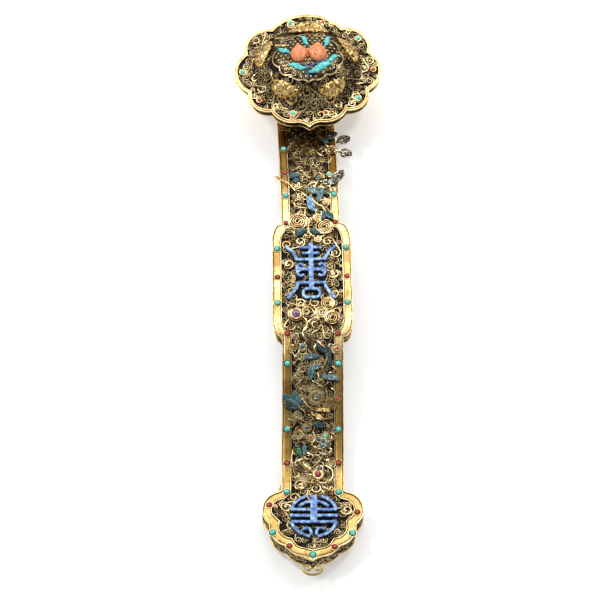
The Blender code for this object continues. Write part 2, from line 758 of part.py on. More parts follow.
SPRAYS = {
    "spray_blossom": {
        "colour": "gilt_wire",
        "stems": (((-4.5, 331.0), (3.0, 327.5), (9.0, 331.0), (15.0, 327.0), (19.0, 322.0)),
                  ((15.0, 327.0), (22.5, 332.0)), ((19.0, 322.0), (24.0, 319.5))),
        "leaves": ((11.0, 334.0, 9.0, 6.0, 15.0),),
        "petals": ((26.0, 333.2, 9.5, 7.5, 20.0), (27.0, 318.6, 9.5, 7.0, -20.0)),
        "bosses": ((18.8, 321.8, 3.1, 3.2),),
        "posts": ((-4.0, 330.8), (9.0, 331.0)),
    },
    "spray_wings": {
        "colour": "teal_enamel",
        "stems": (((-22.5, 293.0), (-17.0, 292.0), (-10.0, 293.5), (-3.0, 289.0), (3.0, 284.0),
                   (8.0, 289.0), (14.0, 296.0), (18.5, 294.5)),
                  ((8.0, 289.0), (13.0, 289.6), (17.3, 290.5), (18.5, 293.0))),
        "leaves": ((-10.8, 295.4, 9.0, 4.5, 10.0), (-8.5, 290.4, 8.0, 4.0, -25.0)),
        "petals": ((21.4, 295.2, 11.0, 6.0, 40.0),),
        "bosses": ((14.8, 296.6, 2.0, 2.6), (17.3, 290.5, 2.0, 2.4), (13.0, 289.6, 2.0, 2.4)),
        "posts": ((-9.0, 293.0), (8.0, 289.0)),
    },
    "leaf_cluster": {
        "colour": "teal_enamel",
        "stems": (((4.5, 277.0), (3.0, 271.0), (6.0, 268.0), (12.0, 265.0), (13.0, 260.5)),
                  ((3.0, 271.0), (2.0, 268.5))),
        "leaves": ((6.6, 278.0, 12.0, 6.0, 15.0), (1.5, 275.4, 9.0, 4.5, -60.0),
                   (1.8, 267.5, 11.0, 5.0, -60.0), (12.0, 264.2, 11.0, 8.0, -50.0)),
        "petals": (),
        "bosses": (),
        "posts": ((3.2, 272.0), (11.0, 265.0)),
    },
    "leaf_pair": {
        "colour": "teal_enamel",
        "stems": (((-6.9, 261.0), (-1.6, 254.5), (-2.0, 248.5), (1.0, 244.0), (5.0, 242.7)),),
        "leaves": ((-5.3, 247.7, 10.0, 5.0, 15.0), (1.6, 247.4, 9.0, 4.5, -20.0)),
        "petals": (),
        "bosses": (),
        "posts": ((-6.0, 260.0), (-2.0, 248.5)),
    },
    "flower_amethyst": {
        "colour": "gilt_wire",
        "stems": (((-11.3, 178.4), (-5.5, 174.5), (-8.5, 168.5)),
                  ((-5.5, 174.5), (1.0, 176.5), (3.5, 172.0))),
        "leaves": (),
        "petals": (),
        "bosses": ((-11.3, 178.4, 4.6, 2.0), (-11.3, 178.4, 2.9, 3.8)),
        "posts": ((-8.5, 169.5), (3.0, 173.0)),
    },
    "spray_lower": {
        "colour": "teal_enamel",
        "stems": (((-14.7, 153.1), (-6.6, 153.8), (-1.0, 150.0), (3.0, 146.5), (7.0, 147.0)),
                  ((3.0, 146.5), (3.5, 140.0), (1.0, 137.5)), ((3.5, 140.0), (8.0, 135.0))),
        "leaves": ((9.0, 148.8, 13.0, 7.0, -40.0), (0.2, 147.2, 9.0, 5.5, -30.0),
                   (-2.6, 137.5, 9.0, 5.0, 5.0), (11.5, 134.0, 11.0, 6.0, -10.0)),
        "petals": (),
        "bosses": ((-6.6, 153.8, 2.6, 2.6),),
        "posts": ((-12.0, 153.3), (3.2, 143.0)),
    },
    "flower_ringed": {
        "colour": "gilt_wire",
        "stems": (((1.4, 118.8), (6.0, 113.0), (10.8, 114.7)),
                  ((6.0, 113.0), (5.0, 107.5), (9.0, 104.5))),
        "leaves": (),
        "petals": (),
        "bosses": ((1.4, 118.8, 4.6, 1.9), (1.4, 118.8, 2.6, 3.2), (10.8, 114.7, 2.6, 1.8)),
        "posts": ((5.8, 112.5), (8.5, 105.0)),
    },
    "leaf_border": {
        "colour": "teal_enamel",
        "stems": (((-14.0, 116.2), (-9.0, 119.0), (-6.0, 123.5)),),
        "leaves": ((-13.6, 116.2, 13.0, 7.0, 30.0),),
        "petals": (),
        "bosses": (),
        "posts": ((-8.6, 119.5), (-10.5, 117.5)),
    },
    "flower_five_petals": {
        "colour": "teal_enamel",
        "stems": (((6.7, 89.4), (0.0, 92.5), (-4.5, 97.0)),),
        "leaves": tuple((6.7 + 3.1 * math.cos(math.radians(a)), 89.4 + 3.1 * math.sin(math.radians(a)),
                         5.6, 3.6, a) for a in (18.0, 90.0, 162.0, 234.0, 306.0)),
        "petals": (),
        "bosses": ((6.7, 89.4, 2.0, 2.8),),
        "posts": ((-4.0, 96.5), (0.0, 92.5)),
    },
    "flower_ruby": {
        "colour": "gilt_wire",
        "stems": (((-10.0, 83.0), (-6.0, 79.0), (-1.0, 72.0), (3.4, 65.3), (11.3, 64.6)),),
        "leaves": ((-9.2, 81.6, 9.0, 4.5, 30.0),),
        "petals": (),
        "bosses": ((3.4, 65.3, 3.8, 1.9), (3.4, 65.3, 2.6, 3.2), (11.3, 64.6, 2.9, 1.8)),
        "posts": ((-6.0, 79.0), (10.0, 64.6)),
    },
}
LEAF_THICK = 1.2 * MM
BOSS_STEP = 0.1 * MM        # each further boss of a flower starts this much higher
PETAL_WIRE = 1.3 * MM


def make_spray(name, frames, parts):
    design = SPRAYS[name]
    pieces = []
    for path in design["stems"]:
        outline = ribbon_outline([(x * MM, s * MM) for x, s in path], STEM_WIDTH)
        pieces.append(slab(outline, SPRAY_LOW + 0.2 * MM, SPRAY_LOW + 0.9 * MM, parts))
    for leaf in design["leaves"]:
        x, s, length, width = (value * MM for value in leaf[:4])
        outline = leaf_outline(x, s, length, width, leaf[4])
        pieces.append(slab(outline, SPRAY_LOW, SPRAY_LOW + LEAF_THICK, parts))
    for petal in design["petals"]:
        x, s, length, width = (value * MM for value in petal[:4])
        outline = leaf_outline(x, s, length, width, petal[4])
        ring = slab(outline, SPRAY_LOW + 0.1 * MM, SPRAY_LOW + LEAF_THICK * 1.2, parts)
        hole = slab(inset(outline, PETAL_WIRE), 0.0, SPRAY_LOW + 2 * LEAF_THICK, parts)
        pieces.append(combine(ring, hole, "DIFFERENCE"))
    for i, boss in enumerate(design["bosses"]):
        x, s, radius, height = (value * MM for value in boss)
        base = BOSS_STEP * (i + 1)
        dome = turned([(0.0, height), (radius * 0.9, height * 0.7),
                       (radius, base), (0.0, base)], 6, parts)
        for vertex in dome.data.vertices:
            vertex.co += Vector((x, s, SPRAY_LOW))
        pieces.append(dome)
    for x, s in design["posts"]:
        outline = disc_outline(x * MM, s * MM, POST_RADIUS, 4)
        pieces.append(slab(outline, TOUCH - FIELD_SINK, SPRAY_LOW + 0.6 * MM, parts))
    body = join_all(pieces)
    bend(body, frames)
    return finish(body, name, design["colour"])


def loop_path():
    """Half of the loop: up the right side of an ellipse and into a curl beside the middle."""
    half_width = LOOP_WIDTH / 2 - LOOP_WIRE
    half_length = LOOP_LENGTH / 2 - LOOP_WIRE
    points = []
    for i in range(9):
        t = math.radians(-90.0 + 130.0 * i / 8)
        points.append((half_width * math.cos(t), half_length * math.sin(t)))
    start = points[-1]
    eye = (half_width * 0.54, half_length * 0.12)
    reach = math.hypot(start[0] - eye[0], start[1] - eye[1])
    first = math.atan2(start[1] - eye[1], start[0] - eye[0])
    for i in range(1, 8):
        t = first + math.radians(36.0 * i)
        shrink = reach * (1 - 0.085 * i)
        points.append((eye[0] + shrink * math.cos(t), eye[1] + shrink * math.sin(t)))
    return points


def make_loop(frames, parts):
    """The flat wire loop under the cusp, with two curls that meet at the middle."""
    half = loop_path()
    path = [(-x, y) for x, y in reversed(half[1:])] + half
    shift = LOOP_WIRE - LOOP_LENGTH / 2
    curve = bpy.data.curves.new("loop", "CURVE")
    curve.dimensions = "3D"
    curve.bevel_depth = LOOP_WIRE
    curve.bevel_resolution = 0
    curve.use_fill_caps = True
    spline = curve.splines.new("POLY")
    spline.points.add(len(path) - 1)
    for point, place in zip(spline.points, path):
        point.co = (place[0], place[1] + shift, -LOOP_DROP, 1.0)
    drawn = place_mesh("loop", curve, parts)
    mesh = evaluated_copy(drawn)
    bpy.data.objects.remove(drawn, do_unlink=True)
    tidy_mesh(mesh)
    loop = place_mesh("loop", mesh, parts)
    bend(loop, frames)
    return finish(loop, "foot_loop", "gilt_silver", 60.0)


# Pieces of the head

def make_head_case(head, parts):
    outline = head_outline()
    body = boxed_case(outline, inset(outline, HEAD_RIM), HEAD_WALL, HEAD_SINK, parts)
    below = -HEAD_SINK * 1.5
    widest = math.sqrt(1 - below / DOME_HEIGHT)
    profile = []
    for i in range(6):
        share = widest * i / 5
        profile.append((DOME_HALF_WIDTH * share, DOME_HEIGHT * (1 - share * share)))
    profile.append((0.0, below))
    dome = turned(profile, 20, parts)
    for vertex in dome.data.vertices:
        vertex.co.y *= DOME_HALF_LENGTH / DOME_HALF_WIDTH
    body = combine(body, dome, "UNION")
    for x, y in HEAD_STONES:
        for sign in (-1, 1):
            stone = turned([(0.0, 1.6 * MM), (STONE_RADIUS * 0.6, 1.2 * MM),
                            (STONE_RADIUS, 0.0), (STONE_RADIUS, below), (0.0, below)], 6, parts)
            for vertex in stone.data.vertices:
                vertex.co += Vector((sign * x, y, 0.0))
            body = combine(body, stone, "UNION")
    clean_cut(body)
    body.parent = head
    return finish(body, "head_case", "gilt_silver")


def make_medallion(head, parts):
    """The lobed plate on the dome."""
    full = head_outline()
    wide = MEDALLION_WIDTH / (2 * max(x for x, y in full))
    long = MEDALLION_LENGTH / (max(y for x, y in full) - min(y for x, y in full))
    outline = [(x * wide, y * long + MEDALLION_SHIFT) for x, y in full]
    body = slab(outline, 0.0, MEDALLION_THICK, parts)
    drape(body, MEDALLION_LIFT)
    body.parent = head
    return finish(body, "head_medallion", "gilt_silver")


def bat_outline(span):
    """A bat with spread wings, about its own middle, head towards +Y."""
    unit = span / 30.0
    half = [(0.0, -6.6), (2.2, -5.2), (4.4, -6.8), (6.6, -4.6), (9.2, -6.4), (11.4, -4.4),
            (15.0, -6.4), (13.4, -0.8), (9.8, 3.2), (5.8, 5.6), (2.6, 5.2), (1.5, 7.0), (0.0, 6.6)]
    return mirrored([(x * unit, y * unit) for x, y in half])


def make_bat(name, x, y, span, turn, head, parts):
    bat = slab(bat_outline(span), 0.0, BAT_THICK, parts)
    body = turned([(0.0, BAT_THICK * 2.0), (span * 0.06, BAT_THICK * 1.7),
                   (span * 0.1, BAT_THICK * 0.6), (0.0, BAT_THICK * 0.4)], 6, parts)
    for vertex in body.data.vertices:
        vertex.co.y *= 1.6
    bat = combine(bat, body, "UNION")
    angle = math.radians(turn)
    for vertex in bat.data.vertices:
        across, along = vertex.co.x, vertex.co.y
        vertex.co.x = x + across * math.cos(angle) - along * math.sin(angle)
        vertex.co.y = y + across * math.sin(angle) + along * math.cos(angle)
    drape(bat, MEDALLION_LIFT)
    bat.parent = head
    return finish(bat, name, "gilt_relief")


def make_peach(name, x, y, width, length, turn, head, parts):
    """A half-round peach with its tip up, lying on the medallion."""
    work = bmesh.new()
    bmesh.ops.create_uvsphere(work, u_segments=10, v_segments=6, radius=1.0)
    everything = work.verts[:] + work.edges[:] + work.faces[:]
    cut = bmesh.ops.bisect_plane(work, geom=everything, plane_co=(0, 0, 0.0), plane_no=(0, 0, 1),
                                 clear_inner=True, dist=1e-5)
    rim = [item for item in cut["geom_cut"] if isinstance(item, bmesh.types.BMEdge)]
    bmesh.ops.contextual_create(work, geom=rim)
    angle = math.radians(turn)
    for vertex in work.verts:
        across, along, up = vertex.co
        if along > 0:
            across *= 1 - PEACH_TIP * along ** 2
        across *= width / 2
        along *= length / 2
        vertex.co = (x + across * math.cos(angle) - along * math.sin(angle),
                     y + across * math.sin(angle) + along * math.cos(angle), up * PEACH_THICK)
    bmesh.ops.recalc_face_normals(work, faces=work.faces)
    mesh = bpy.data.meshes.new(name)
    work.to_mesh(mesh)
    work.free()
    peach = place_mesh(name, mesh, parts)
    drape(peach, MEDALLION_TOP)
    peach.parent = head
    return finish(peach, name, "peach_coral", 60.0)


# Leaves as tip, base and width, and stems as paths, in millimetres from the middle of the head
PEACH_LEAVES = {
    "leaf_upper_left": ((-20.6, 11.0), (-13.4, 3.4), 4.4),
    "leaf_top_middle": ((-4.2, 20.4), (0.4, 11.4), 4.2),
    "leaf_top_right": ((16.0, 21.6), (12.4, 10.6), 4.2),
}
SPRAY_LEAVES = (((13.6, -3.4), (21.6, 2.6), 4.4), ((-0.4, -12.2), (16.4, -5.2), 5.4),
                ((-13.8, -6.4), (-1.0, -9.2), 4.6))
SPRAY_STEMS = (((-0.5, -15.8), (-0.2, -9.5), (-3.4, -6.6)),
               ((-0.2, -9.5), (5.2, -5.8), (14.6, -2.8)))


def leaf_between(tip, base, width):
    """A leaf from its tip to its base, given in millimetres."""
    a, b = Vector(tip) * MM, Vector(base) * MM
    middle, way = (a + b) / 2, b - a
    angle = math.degrees(math.atan2(way.y, way.x))
    return leaf_outline(middle.x, middle.y, way.length, width * MM, angle)


def make_peach_leaves(head, parts):
    for name, (tip, base, width) in PEACH_LEAVES.items():
        leaf = slab(leaf_between(tip, base, width), 0.0, LEAF_THICK, parts)
        drape(leaf, MEDALLION_TOP)
        leaf.parent = head
        finish(leaf, name, "leaf_turquoise")
    pieces = [slab(leaf_between(*leaf), 0.0, LEAF_THICK, parts) for leaf in SPRAY_LEAVES]
    for path in SPRAY_STEMS:
        outline = ribbon_outline([(x * MM, y * MM) for x, y in path], STEM_WIDTH)
        pieces.append(slab(outline, 0.1 * MM, LEAF_THICK * 0.8, parts))
    spray = join_all([pieces[3], pieces[4], pieces[0], pieces[1], pieces[2]])
    drape(spray, MEDALLION_TOP)
    spray.parent = head
    finish(spray, "peach_spray", "leaf_turquoise")


def make_head_frame(frames, parts):
    """An empty at the middle of the head plate, tilted and turned as the plate is."""
    neck = on_frames(frames, 0.0, NECK_LOW, 0.0)
    head = bpy.data.objects.new("head_frame", None)
    head.location = neck + Vector((HEAD_SIDE_STEP, HEAD_REACH, HEAD_RISE))
    head.rotation_euler = (math.radians(HEAD_TILT), 0.0, math.radians(HEAD_TURN))
    parts.objects.link(head)
    bpy.context.view_layer.update()
    return head


def centre_origin(parts):
    """Move the whole sceptre so that its box stands on the origin, centred."""
    bpy.context.view_layer.update()
    pieces = [item for item in parts.objects if item.type == "MESH"]
    places = [item.matrix_world @ vertex.co for item in pieces for vertex in item.data.vertices]
    middle = [(min(p[axis] for p in places) + max(p[axis] for p in places)) / 2 for axis in (0, 1)]
    for item in parts.objects:
        if item.parent is None:
            item.location -= Vector((middle[0], middle[1], 0.0))


def main():
    clear_scene()
    parts = bpy.data.collections.new("sceptre")
    bpy.context.scene.collection.children.link(parts)
    frames = level_spine()
    head = make_head_frame(frames, parts)
    make_shaft(frames, head, parts)
    make_border_stones(frames, parts)
    make_long_emblem(frames, parts)
    make_round_emblem(frames, parts)
    for name in SPRAYS:
        make_spray(name, frames, parts)
    make_loop(frames, parts)
    make_head_case(head, parts)
    make_medallion(head, parts)
    for name, x, y, span, turn in BATS:
        make_bat(name, x, y, span, turn, head, parts)
    for name, x, y, width, length, turn in PEACHES:
        make_peach(name, x, y, width, length, turn, head, parts)
    make_peach_leaves(head, parts)
    centre_origin(parts)


main()
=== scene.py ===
"""Looks of the gilt filigree ruyi sceptre: wire scrolls over a dark ground, polished borders,
enamel, coral and turquoise.

Pieces are drawn flat in millimetres, as across, along and height over the face. to_shaft() and
to_dome() carry a finished flat mesh onto the spine of the shaft or over the dome of the head.
"""

import math
import random

import bmesh
import bpy
import numpy as np
from mathutils import Euler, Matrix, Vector


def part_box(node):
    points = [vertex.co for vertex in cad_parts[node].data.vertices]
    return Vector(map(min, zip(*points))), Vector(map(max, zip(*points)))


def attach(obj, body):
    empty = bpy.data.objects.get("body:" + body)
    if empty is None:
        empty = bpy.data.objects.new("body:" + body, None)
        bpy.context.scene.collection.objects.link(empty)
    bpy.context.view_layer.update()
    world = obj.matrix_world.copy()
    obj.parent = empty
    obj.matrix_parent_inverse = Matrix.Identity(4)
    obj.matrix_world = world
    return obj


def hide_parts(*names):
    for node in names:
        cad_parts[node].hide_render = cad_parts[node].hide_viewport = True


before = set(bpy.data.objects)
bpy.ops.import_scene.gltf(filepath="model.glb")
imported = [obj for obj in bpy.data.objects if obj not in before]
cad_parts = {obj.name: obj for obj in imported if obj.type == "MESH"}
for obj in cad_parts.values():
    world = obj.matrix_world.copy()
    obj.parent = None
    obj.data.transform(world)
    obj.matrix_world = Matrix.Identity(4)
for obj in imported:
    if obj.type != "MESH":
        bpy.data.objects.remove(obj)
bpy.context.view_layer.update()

MM = 0.001

# Shaft, foot and panel, in millimetres, as in the solids. Arcs are (end, bulge, points).
SHAFT_WIDTH = 41.6
SHAFT_DEPTH = 12.0
BORDER_WIDTH = 6.4
FIELD_SINK = 1.5
PANEL_WIDTH = 55.2
PANEL_START = 162.0
PANEL_END = 254.0
PANEL_SHOULDER = 15.0
PANEL_NOTCH = 1.0
FIELD_DROP = 2.8
FIELD_SHOULDER = 13.9
FOOT_SHOULDER = (21.7, 52.6)
FOOT_ARCS = (((6.5, 3.4), -0.5, 5), ((17.8, 11.2), 1.7, 12), ((28.3, 27.2), 3.6, 16),
             (FOOT_SHOULDER, 8.2, 24))

# Spine, slopes and leans in degrees at stations along the face
SPINE_SLOPES = ((0, -3.0), (50, -7.5), (75, 4.5), (110, 16.5), (145, 10.0), (180, 1.0),
                (205, -5.0), (235, -1.5), (265, -2.0), (300, -10.5), (345, -9.0), (357, 0.0),
                (385, 58.0), (412, 66.0))
SPINE_LEANS = ((0, 0.0), (150, 0.0), (345, 3.0), (412, 1.0))
SPINE_END = 412.0
NECK_LOW = 357.0
LAND_SHAVE = 0.35
BACK_END = 372.0    # no scrolls beyond it, where the neck curls up under the head

# Head
HEAD_TIP = (0.0, -49.5)
HEAD_TOP_CORNER = (26.0, 36.0)
HEAD_TOP_BULGE = 12.5
HEAD_ARCS = (((8.0, -45.0), -1.0, 8), ((27.0, -35.7), 3.5, 12), ((43.4, -19.0), 5.8, 16),
             ((45.8, 14.5), 8.8, 24), (HEAD_TOP_CORNER, 7.5, 20))
HEAD_WALL = 5.8
HEAD_RIM = 2.2
HEAD_SINK = 1.2
HEAD_TILT = 3.0
HEAD_TURN = 1.5
HEAD_STEP = (2.1, 24.0, 23.3)
DOME_HALF_WIDTH = 38.0
DOME_HALF_LENGTH = 34.0
DOME_HEIGHT = 15.5
MEDALLION_WIDTH = 50.6
MEDALLION_LENGTH = 43.4
MEDALLION_SHIFT = 2.9

# Stones, (across, along, colour); the rows down the borders are spaced evenly
STONE_PITCH = 22.7
STONE_FIRST = 51.5
STONE_ROWS = 14
CORAL_STEP = -1.2
STONE_INSET = 0.6
PANEL_CORNER = 3.7    # stones nearer than this to the panel's ends keep to the shaft's width
STONES_HIDDEN = (("left", 3), ("right", 11), ("right", 12))
FOOT_STONES = (("foot_stone_left_side", -28.4, 41.5, "coral"),
               ("foot_stone_left_low", -26.0, 20.8, "turquoise"),
               ("foot_stone_left_tip", -15.2, 10.9, "coral"),
               ("foot_stone_tip", 0.0, 4.6, "turquoise"),
               ("foot_stone_right_tip", 14.2, 10.3, "coral"),
               ("foot_stone_right_low", 25.7, 20.4, "turquoise"),
               ("foot_stone_right_side", 28.9, 36.0, "coral"))
HEAD_STONES = ((-11.7, 40.8, "turquoise"), (11.7, 40.8, "coral"), (37.2, 26.2, "turquoise"),
               (47.2, -1.0, "coral"), (35.6, -25.3, "turquoise"), (11.7, -37.1, "coral"),
               (-11.7, -37.1, "turquoise"), (-35.6, -25.3, "coral"), (-47.2, -1.0, "turquoise"),
               (-37.2, 26.2, "garnet"))

# Wire work: radii of wires and granules, and how far each layer lies from the border's face
FINE_WIRE = 0.2
VINE_WIRE = 0.38
EDGE_WIRE = 0.42
EYE_GRANULE = 0.55
FINE_LEVEL = -1.05
BOLD_LEVEL = -0.55


# Outlines, as lists of (across, along)

def polar(centre, radius, angle):
    return centre[0] + radius * math.cos(angle), centre[1] + radius * math.sin(angle)


def disc(x, y, radius, count=20):
    return [polar((x, y), radius, math.tau * i / count) for i in range(count)]


def arc(start, end, bulge, count):
    """Points of a round arc from start up to end, which is left out, bulging to the right."""
    a, b = Vector(start), Vector(end)
    chord = b - a
    half = chord.length / 2
    right = Vector((chord.y, -chord.x)).normalized()
    radius = (half * half + bulge * bulge) / (2 * abs(bulge))
    middle = (a + b) / 2 + right * (bulge - math.copysign(radius, bulge))
    first = math.atan2(a.y - middle.y, a.x - middle.x)
    sweep = (math.atan2(b.y - middle.y, b.x - middle.x) - first) % math.tau
    if bulge < 0:
        sweep -= math.tau
    return [polar(middle, radius, first + sweep * i / count) for i in range(count)]


def arcs(start, chain):
    """A chain of arcs from start, each up to its (end, bulge, points)."""
    half = []
    for end, bulge, count in chain:
        half += arc(start, end, bulge, count)
        start = end
    return half


def mirrored(half):
    right = [(x if x > 0.01 else 0.0, y) for x, y in half]
    return right + [(-x, y) for x, y in reversed(right) if x > 0.01]


def quarter(start, end):
    """A quarter ellipse that leaves start along the shaft and reaches end across it."""
    angles = [math.pi / 2 * i / 14 for i in range(14)]
    return [(end[0] + (start[0] - end[0]) * math.cos(t),
             start[1] + (end[1] - start[1]) * math.sin(t)) for t in angles]


def straight(start, end):
    """Points from start up to end, which is left out, about 3 mm apart."""
    count = max(1, round(math.dist(start, end) / 3.0))
    return [(start[0] + (end[0] - start[0]) * i / count,
             start[1] + (end[1] - start[1]) * i / count) for i in range(count)]


def inset(outline, distance):
    """The outline moved inwards by distance, with mitred corners."""
    points = [Vector(p) for p in outline]
    moved = []
    for i, here in enumerate(points):
        before = (here - points[i - 1]).normalized()
        after = (points[(i + 1) % len(points)] - here).normalized()
        left_before = Vector((-before.y, before.x))
        mitre = left_before + Vector((-after.y, after.x))
        moved.append(tuple(here + mitre * distance / max(0.35, mitre.dot(left_before))))
    return moved


def panel_half(border, drop, shoulder):
    """Right side of the shaft above the foot, this far inside the outline."""
    side = SHAFT_WIDTH / 2 - border
    wide = PANEL_WIDTH / 2 - border
    low, high = PANEL_START + drop, PANEL_END - drop
    half = straight((side, FOOT_SHOULDER[1] + PANEL_NOTCH * 2), (side, low))[1:]
    half += [(side, low)] + quarter((wide, low + shoulder), (side + PANEL_NOTCH, low))[::-1]
    half += straight((wide, low + shoulder), (wide, high - shoulder))[1:]
    half += quarter((wide, high - shoulder), (side + PANEL_NOTCH, high))
    half += [(side + PANEL_NOTCH, high)] + straight((side, high), (side, SPINE_END - border))
    return half + [(side, SPINE_END - border)]


def shaft_outline(border):
    """Outline of foot, shaft and neck, moved in by border. Its points answer one another."""
    share = border / BORDER_WIDTH
    foot = arcs((0.0, 0.0), FOOT_ARCS)
    foot += [FOOT_SHOULDER, (SHAFT_WIDTH / 2, FOOT_SHOULDER[1] + PANEL_NOTCH)]
    inside = inset(mirrored(foot + [(SHAFT_WIDTH / 2, PANEL_START)]), border)[:len(foot)]
    shoulder = PANEL_SHOULDER + (FIELD_SHOULDER - PANEL_SHOULDER) * share
    return mirrored(inside + panel_half(border, FIELD_DROP * share, shoulder))


def head_outline():
    """Outline of the head plate about its own middle, from the cusp round."""
    left_corner = (-HEAD_TOP_CORNER[0], HEAD_TOP_CORNER[1])
    top = arc(HEAD_TOP_CORNER, left_corner, HEAD_TOP_BULGE, 32)
    return mirrored(arcs(HEAD_TIP, HEAD_ARCS) + top[:17])


def medallion_outline():
    full = head_outline()
    wide = MEDALLION_WIDTH / (2 * max(x for x, y in full))
    long = MEDALLION_LENGTH / (max(y for x, y in full) - min(y for x, y in full))
    return [(x * wide, y * long + MEDALLION_SHIFT) for x, y in full]


def edge_distance(points, outline):
    """Distance of each point to the outline, positive inside it."""
    p = np.asarray(points, float)[:, None, :]
    a = np.asarray(outline, float)[None, :, :]
    b = np.roll(a, -1, axis=1)
    way = b - a
    share = np.clip(((p - a) * way).sum(2) / np.maximum((way * way).sum(2), 1e-12), 0, 1)
    gap = np.sqrt((((a + way * share[..., None]) - p) ** 2).sum(2)).min(1)
    above = (a[..., 1] > p[..., 1]) != (b[..., 1] > p[..., 1])
    rise = np.where(way[..., 1] == 0, 1e-12, way[..., 1])
    cross = p[..., 0] < a[..., 0] + way[..., 0] * (p[..., 1] - a[..., 1]) / rise
    inside = (above & cross).sum(1) % 2 == 1
    return np.where(inside, gap, -gap)


# The spine, and the ways that flat pieces are carried onto it

def spine_frames(pitch):
    """Point, side, way and normal at every millimetre along the face."""
    steps = np.arange(int(SPINE_END) + 2)
    slope = np.radians(np.interp(steps, *zip(*SPINE_SLOPES))) + pitch
    lean = np.radians(np.interp(steps, *zip(*SPINE_LEANS)))
    way = np.stack([-np.sin(lean) * np.cos(slope), np.cos(lean) * np.cos(slope),
                    np.sin(slope)], axis=1)
    side = np.stack([np.cos(lean), np.sin(lean), np.zeros(len(steps))], axis=1)
    point = np.concatenate([np.zeros((1, 3)), np.cumsum(way, axis=0)[:-1]])
    return point, side, way, np.cross(side, way)


def along_spine(frames, flat):
    """World places, in millimetres, of flat points (across, along, height)."""
    point, side, way, normal = frames
    flat = np.asarray(flat, float)
    index = np.clip(flat[:, 1].astype(int), 0, len(point) - 2)
    rest = (flat[:, 1] - index)[:, None]
    blend = np.clip(rest, 0, 1)
    sides = side[index] * (1 - blend) + side[index + 1] * blend
    normals = normal[index] * (1 - blend) + normal[index + 1] * blend
    return point[index] + way[index] * rest + sides * flat[:, :1] + normals * flat[:, 2:]


def level_spine():
    """Frames pitched so that the back lies level, set where the solid of the shaft is."""
    stations = np.arange(int(SPINE_END))
    back = np.stack([stations * 0.0, stations, stations * 0.0 - SHAFT_DEPTH], axis=1)
    middle = int((PANEL_START + PANEL_END) / 2)
    pitch = 0.0
    for _ in range(12):
        places = along_spine(spine_frames(pitch), back)
        foot = places[np.argmin(places[:middle, 2])]
        neck = places[middle + np.argmin(places[middle:, 2])]
        pitch += (foot[2] - neck[2]) / (neck[1] - foot[1])
    frames = spine_frames(pitch)
    drop = along_spine(frames, back)[:middle, 2].min() + LAND_SHAVE
    low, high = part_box("shaft_case")
    tip = along_spine(frames, [(0, 0, 0), (0, 0, -SHAFT_DEPTH)])[:, 1].min()
    shift = np.array([(low[0] + high[0]) / 2 / MM, low[1] / MM - tip, -drop])
    return (frames[0] + shift,) + frames[1:]


SPINE = level_spine()
HEAD_PLACE = Vector(along_spine(SPINE, [(0, NECK_LOW, 0)])[0]) + Vector(HEAD_STEP)
HEAD_TURNED = Euler((math.radians(HEAD_TILT), 0.0, math.radians(HEAD_TURN))).to_matrix()


def to_shaft(flat):
    places = along_spine(SPINE, flat)
    places[:, 2] = np.maximum(places[:, 2], 0.02)
    return places * MM


def to_plate(flat):
    """Flat points of the head plate, not raised over the dome, to the world."""
    turned = np.asarray(flat, float) @ np.array(HEAD_TURNED).T
    return (turned + np.array(HEAD_PLACE)) * MM


def to_dome(flat):
    flat = np.array(flat, float)
    share = (flat[:, 0] / DOME_HALF_WIDTH) ** 2 + (flat[:, 1] / DOME_HALF_LENGTH) ** 2
    flat[:, 2] += np.maximum(DOME_HEIGHT * (1 - share), -HEAD_SINK)
    return to_plate(flat)


def carry(piece, where):
    """Move each vertex of a mesh by where, which takes and gives an array of places."""
    mesh = piece.data
    flat = np.empty(len(mesh.vertices) * 3)
    mesh.vertices.foreach_get("co", flat)
    mesh.vertices.foreach_set("co", where(flat.reshape(-1, 3)).ravel())
    mesh.update()
    return piece


# Finishes

def linear(value):
    return value / 12.92 if value <= 0.04045 else ((value + 0.055) / 1.055) ** 2.4


def colour(code):
    """Linear colour of an sRGB hex code."""
    return tuple(linear(int(code[i:i + 2], 16) / 255) for i in (0, 2, 4)) + (1.0,)


def add(tree, kind, links=(), stops=(), **settings):
    """Add a node. Links are (input, socket), stops are (place, hex code) of a ramp in order, and
    a setting whose name is an input, its spaces as underlines, fills that input."""
    node = tree.nodes.new("ShaderNode" + kind)
    for name, value in settings.items():
        if name.replace("_", " ") in node.inputs:
            node.inputs[name.replace("_", " ")].default_value = value
        else:
            setattr(node, name, value)
    if stops:
        band = node.color_ramp.elements
        for element, (place, code) in ((band[0], stops[0]), (band[1], stops[-1])):
            element.position = place
            element.color = colour(code)
        for place, code in stops[1:-1]:
            band.new(place).color = colour(code)
    for name, source in links:
        tree.links.new(source, node.inputs[name])
    return node


def new_finish(name, **values):
    """A material with a Principled shader whose inputs are set, its tree and the shader."""
    made = bpy.data.materials.new(name)
    made.use_nodes = True
    shader = made.node_tree.nodes["Principled BSDF"]
    for key, value in values.items():
        shader.inputs[key.replace("_", " ")].default_value = value
    return made, made.node_tree, shader


def mottled(name, noise, stops, dents=0.0, **values):
    """A finish whose colour runs through the stops in clouds, with dents so many mm deep."""
    made, tree, shader = new_finish(name, **values)
    place = add(tree, "TexCoord").outputs["Object"]
    cloud = add(tree, "TexNoise", links=(("Vector", place),), **noise).outputs["Fac"]
    tone = add(tree, "ValToRGB", links=(("Fac", cloud),), stops=stops)
    tree.links.new(tone.outputs["Color"], shader.inputs["Base Color"])
    if dents:
        bump = add(tree, "Bump", links=(("Height", cloud),), Distance=dents * MM)
        tree.links.new(bump.outputs["Normal"], shader.inputs["Normal"])
    return made


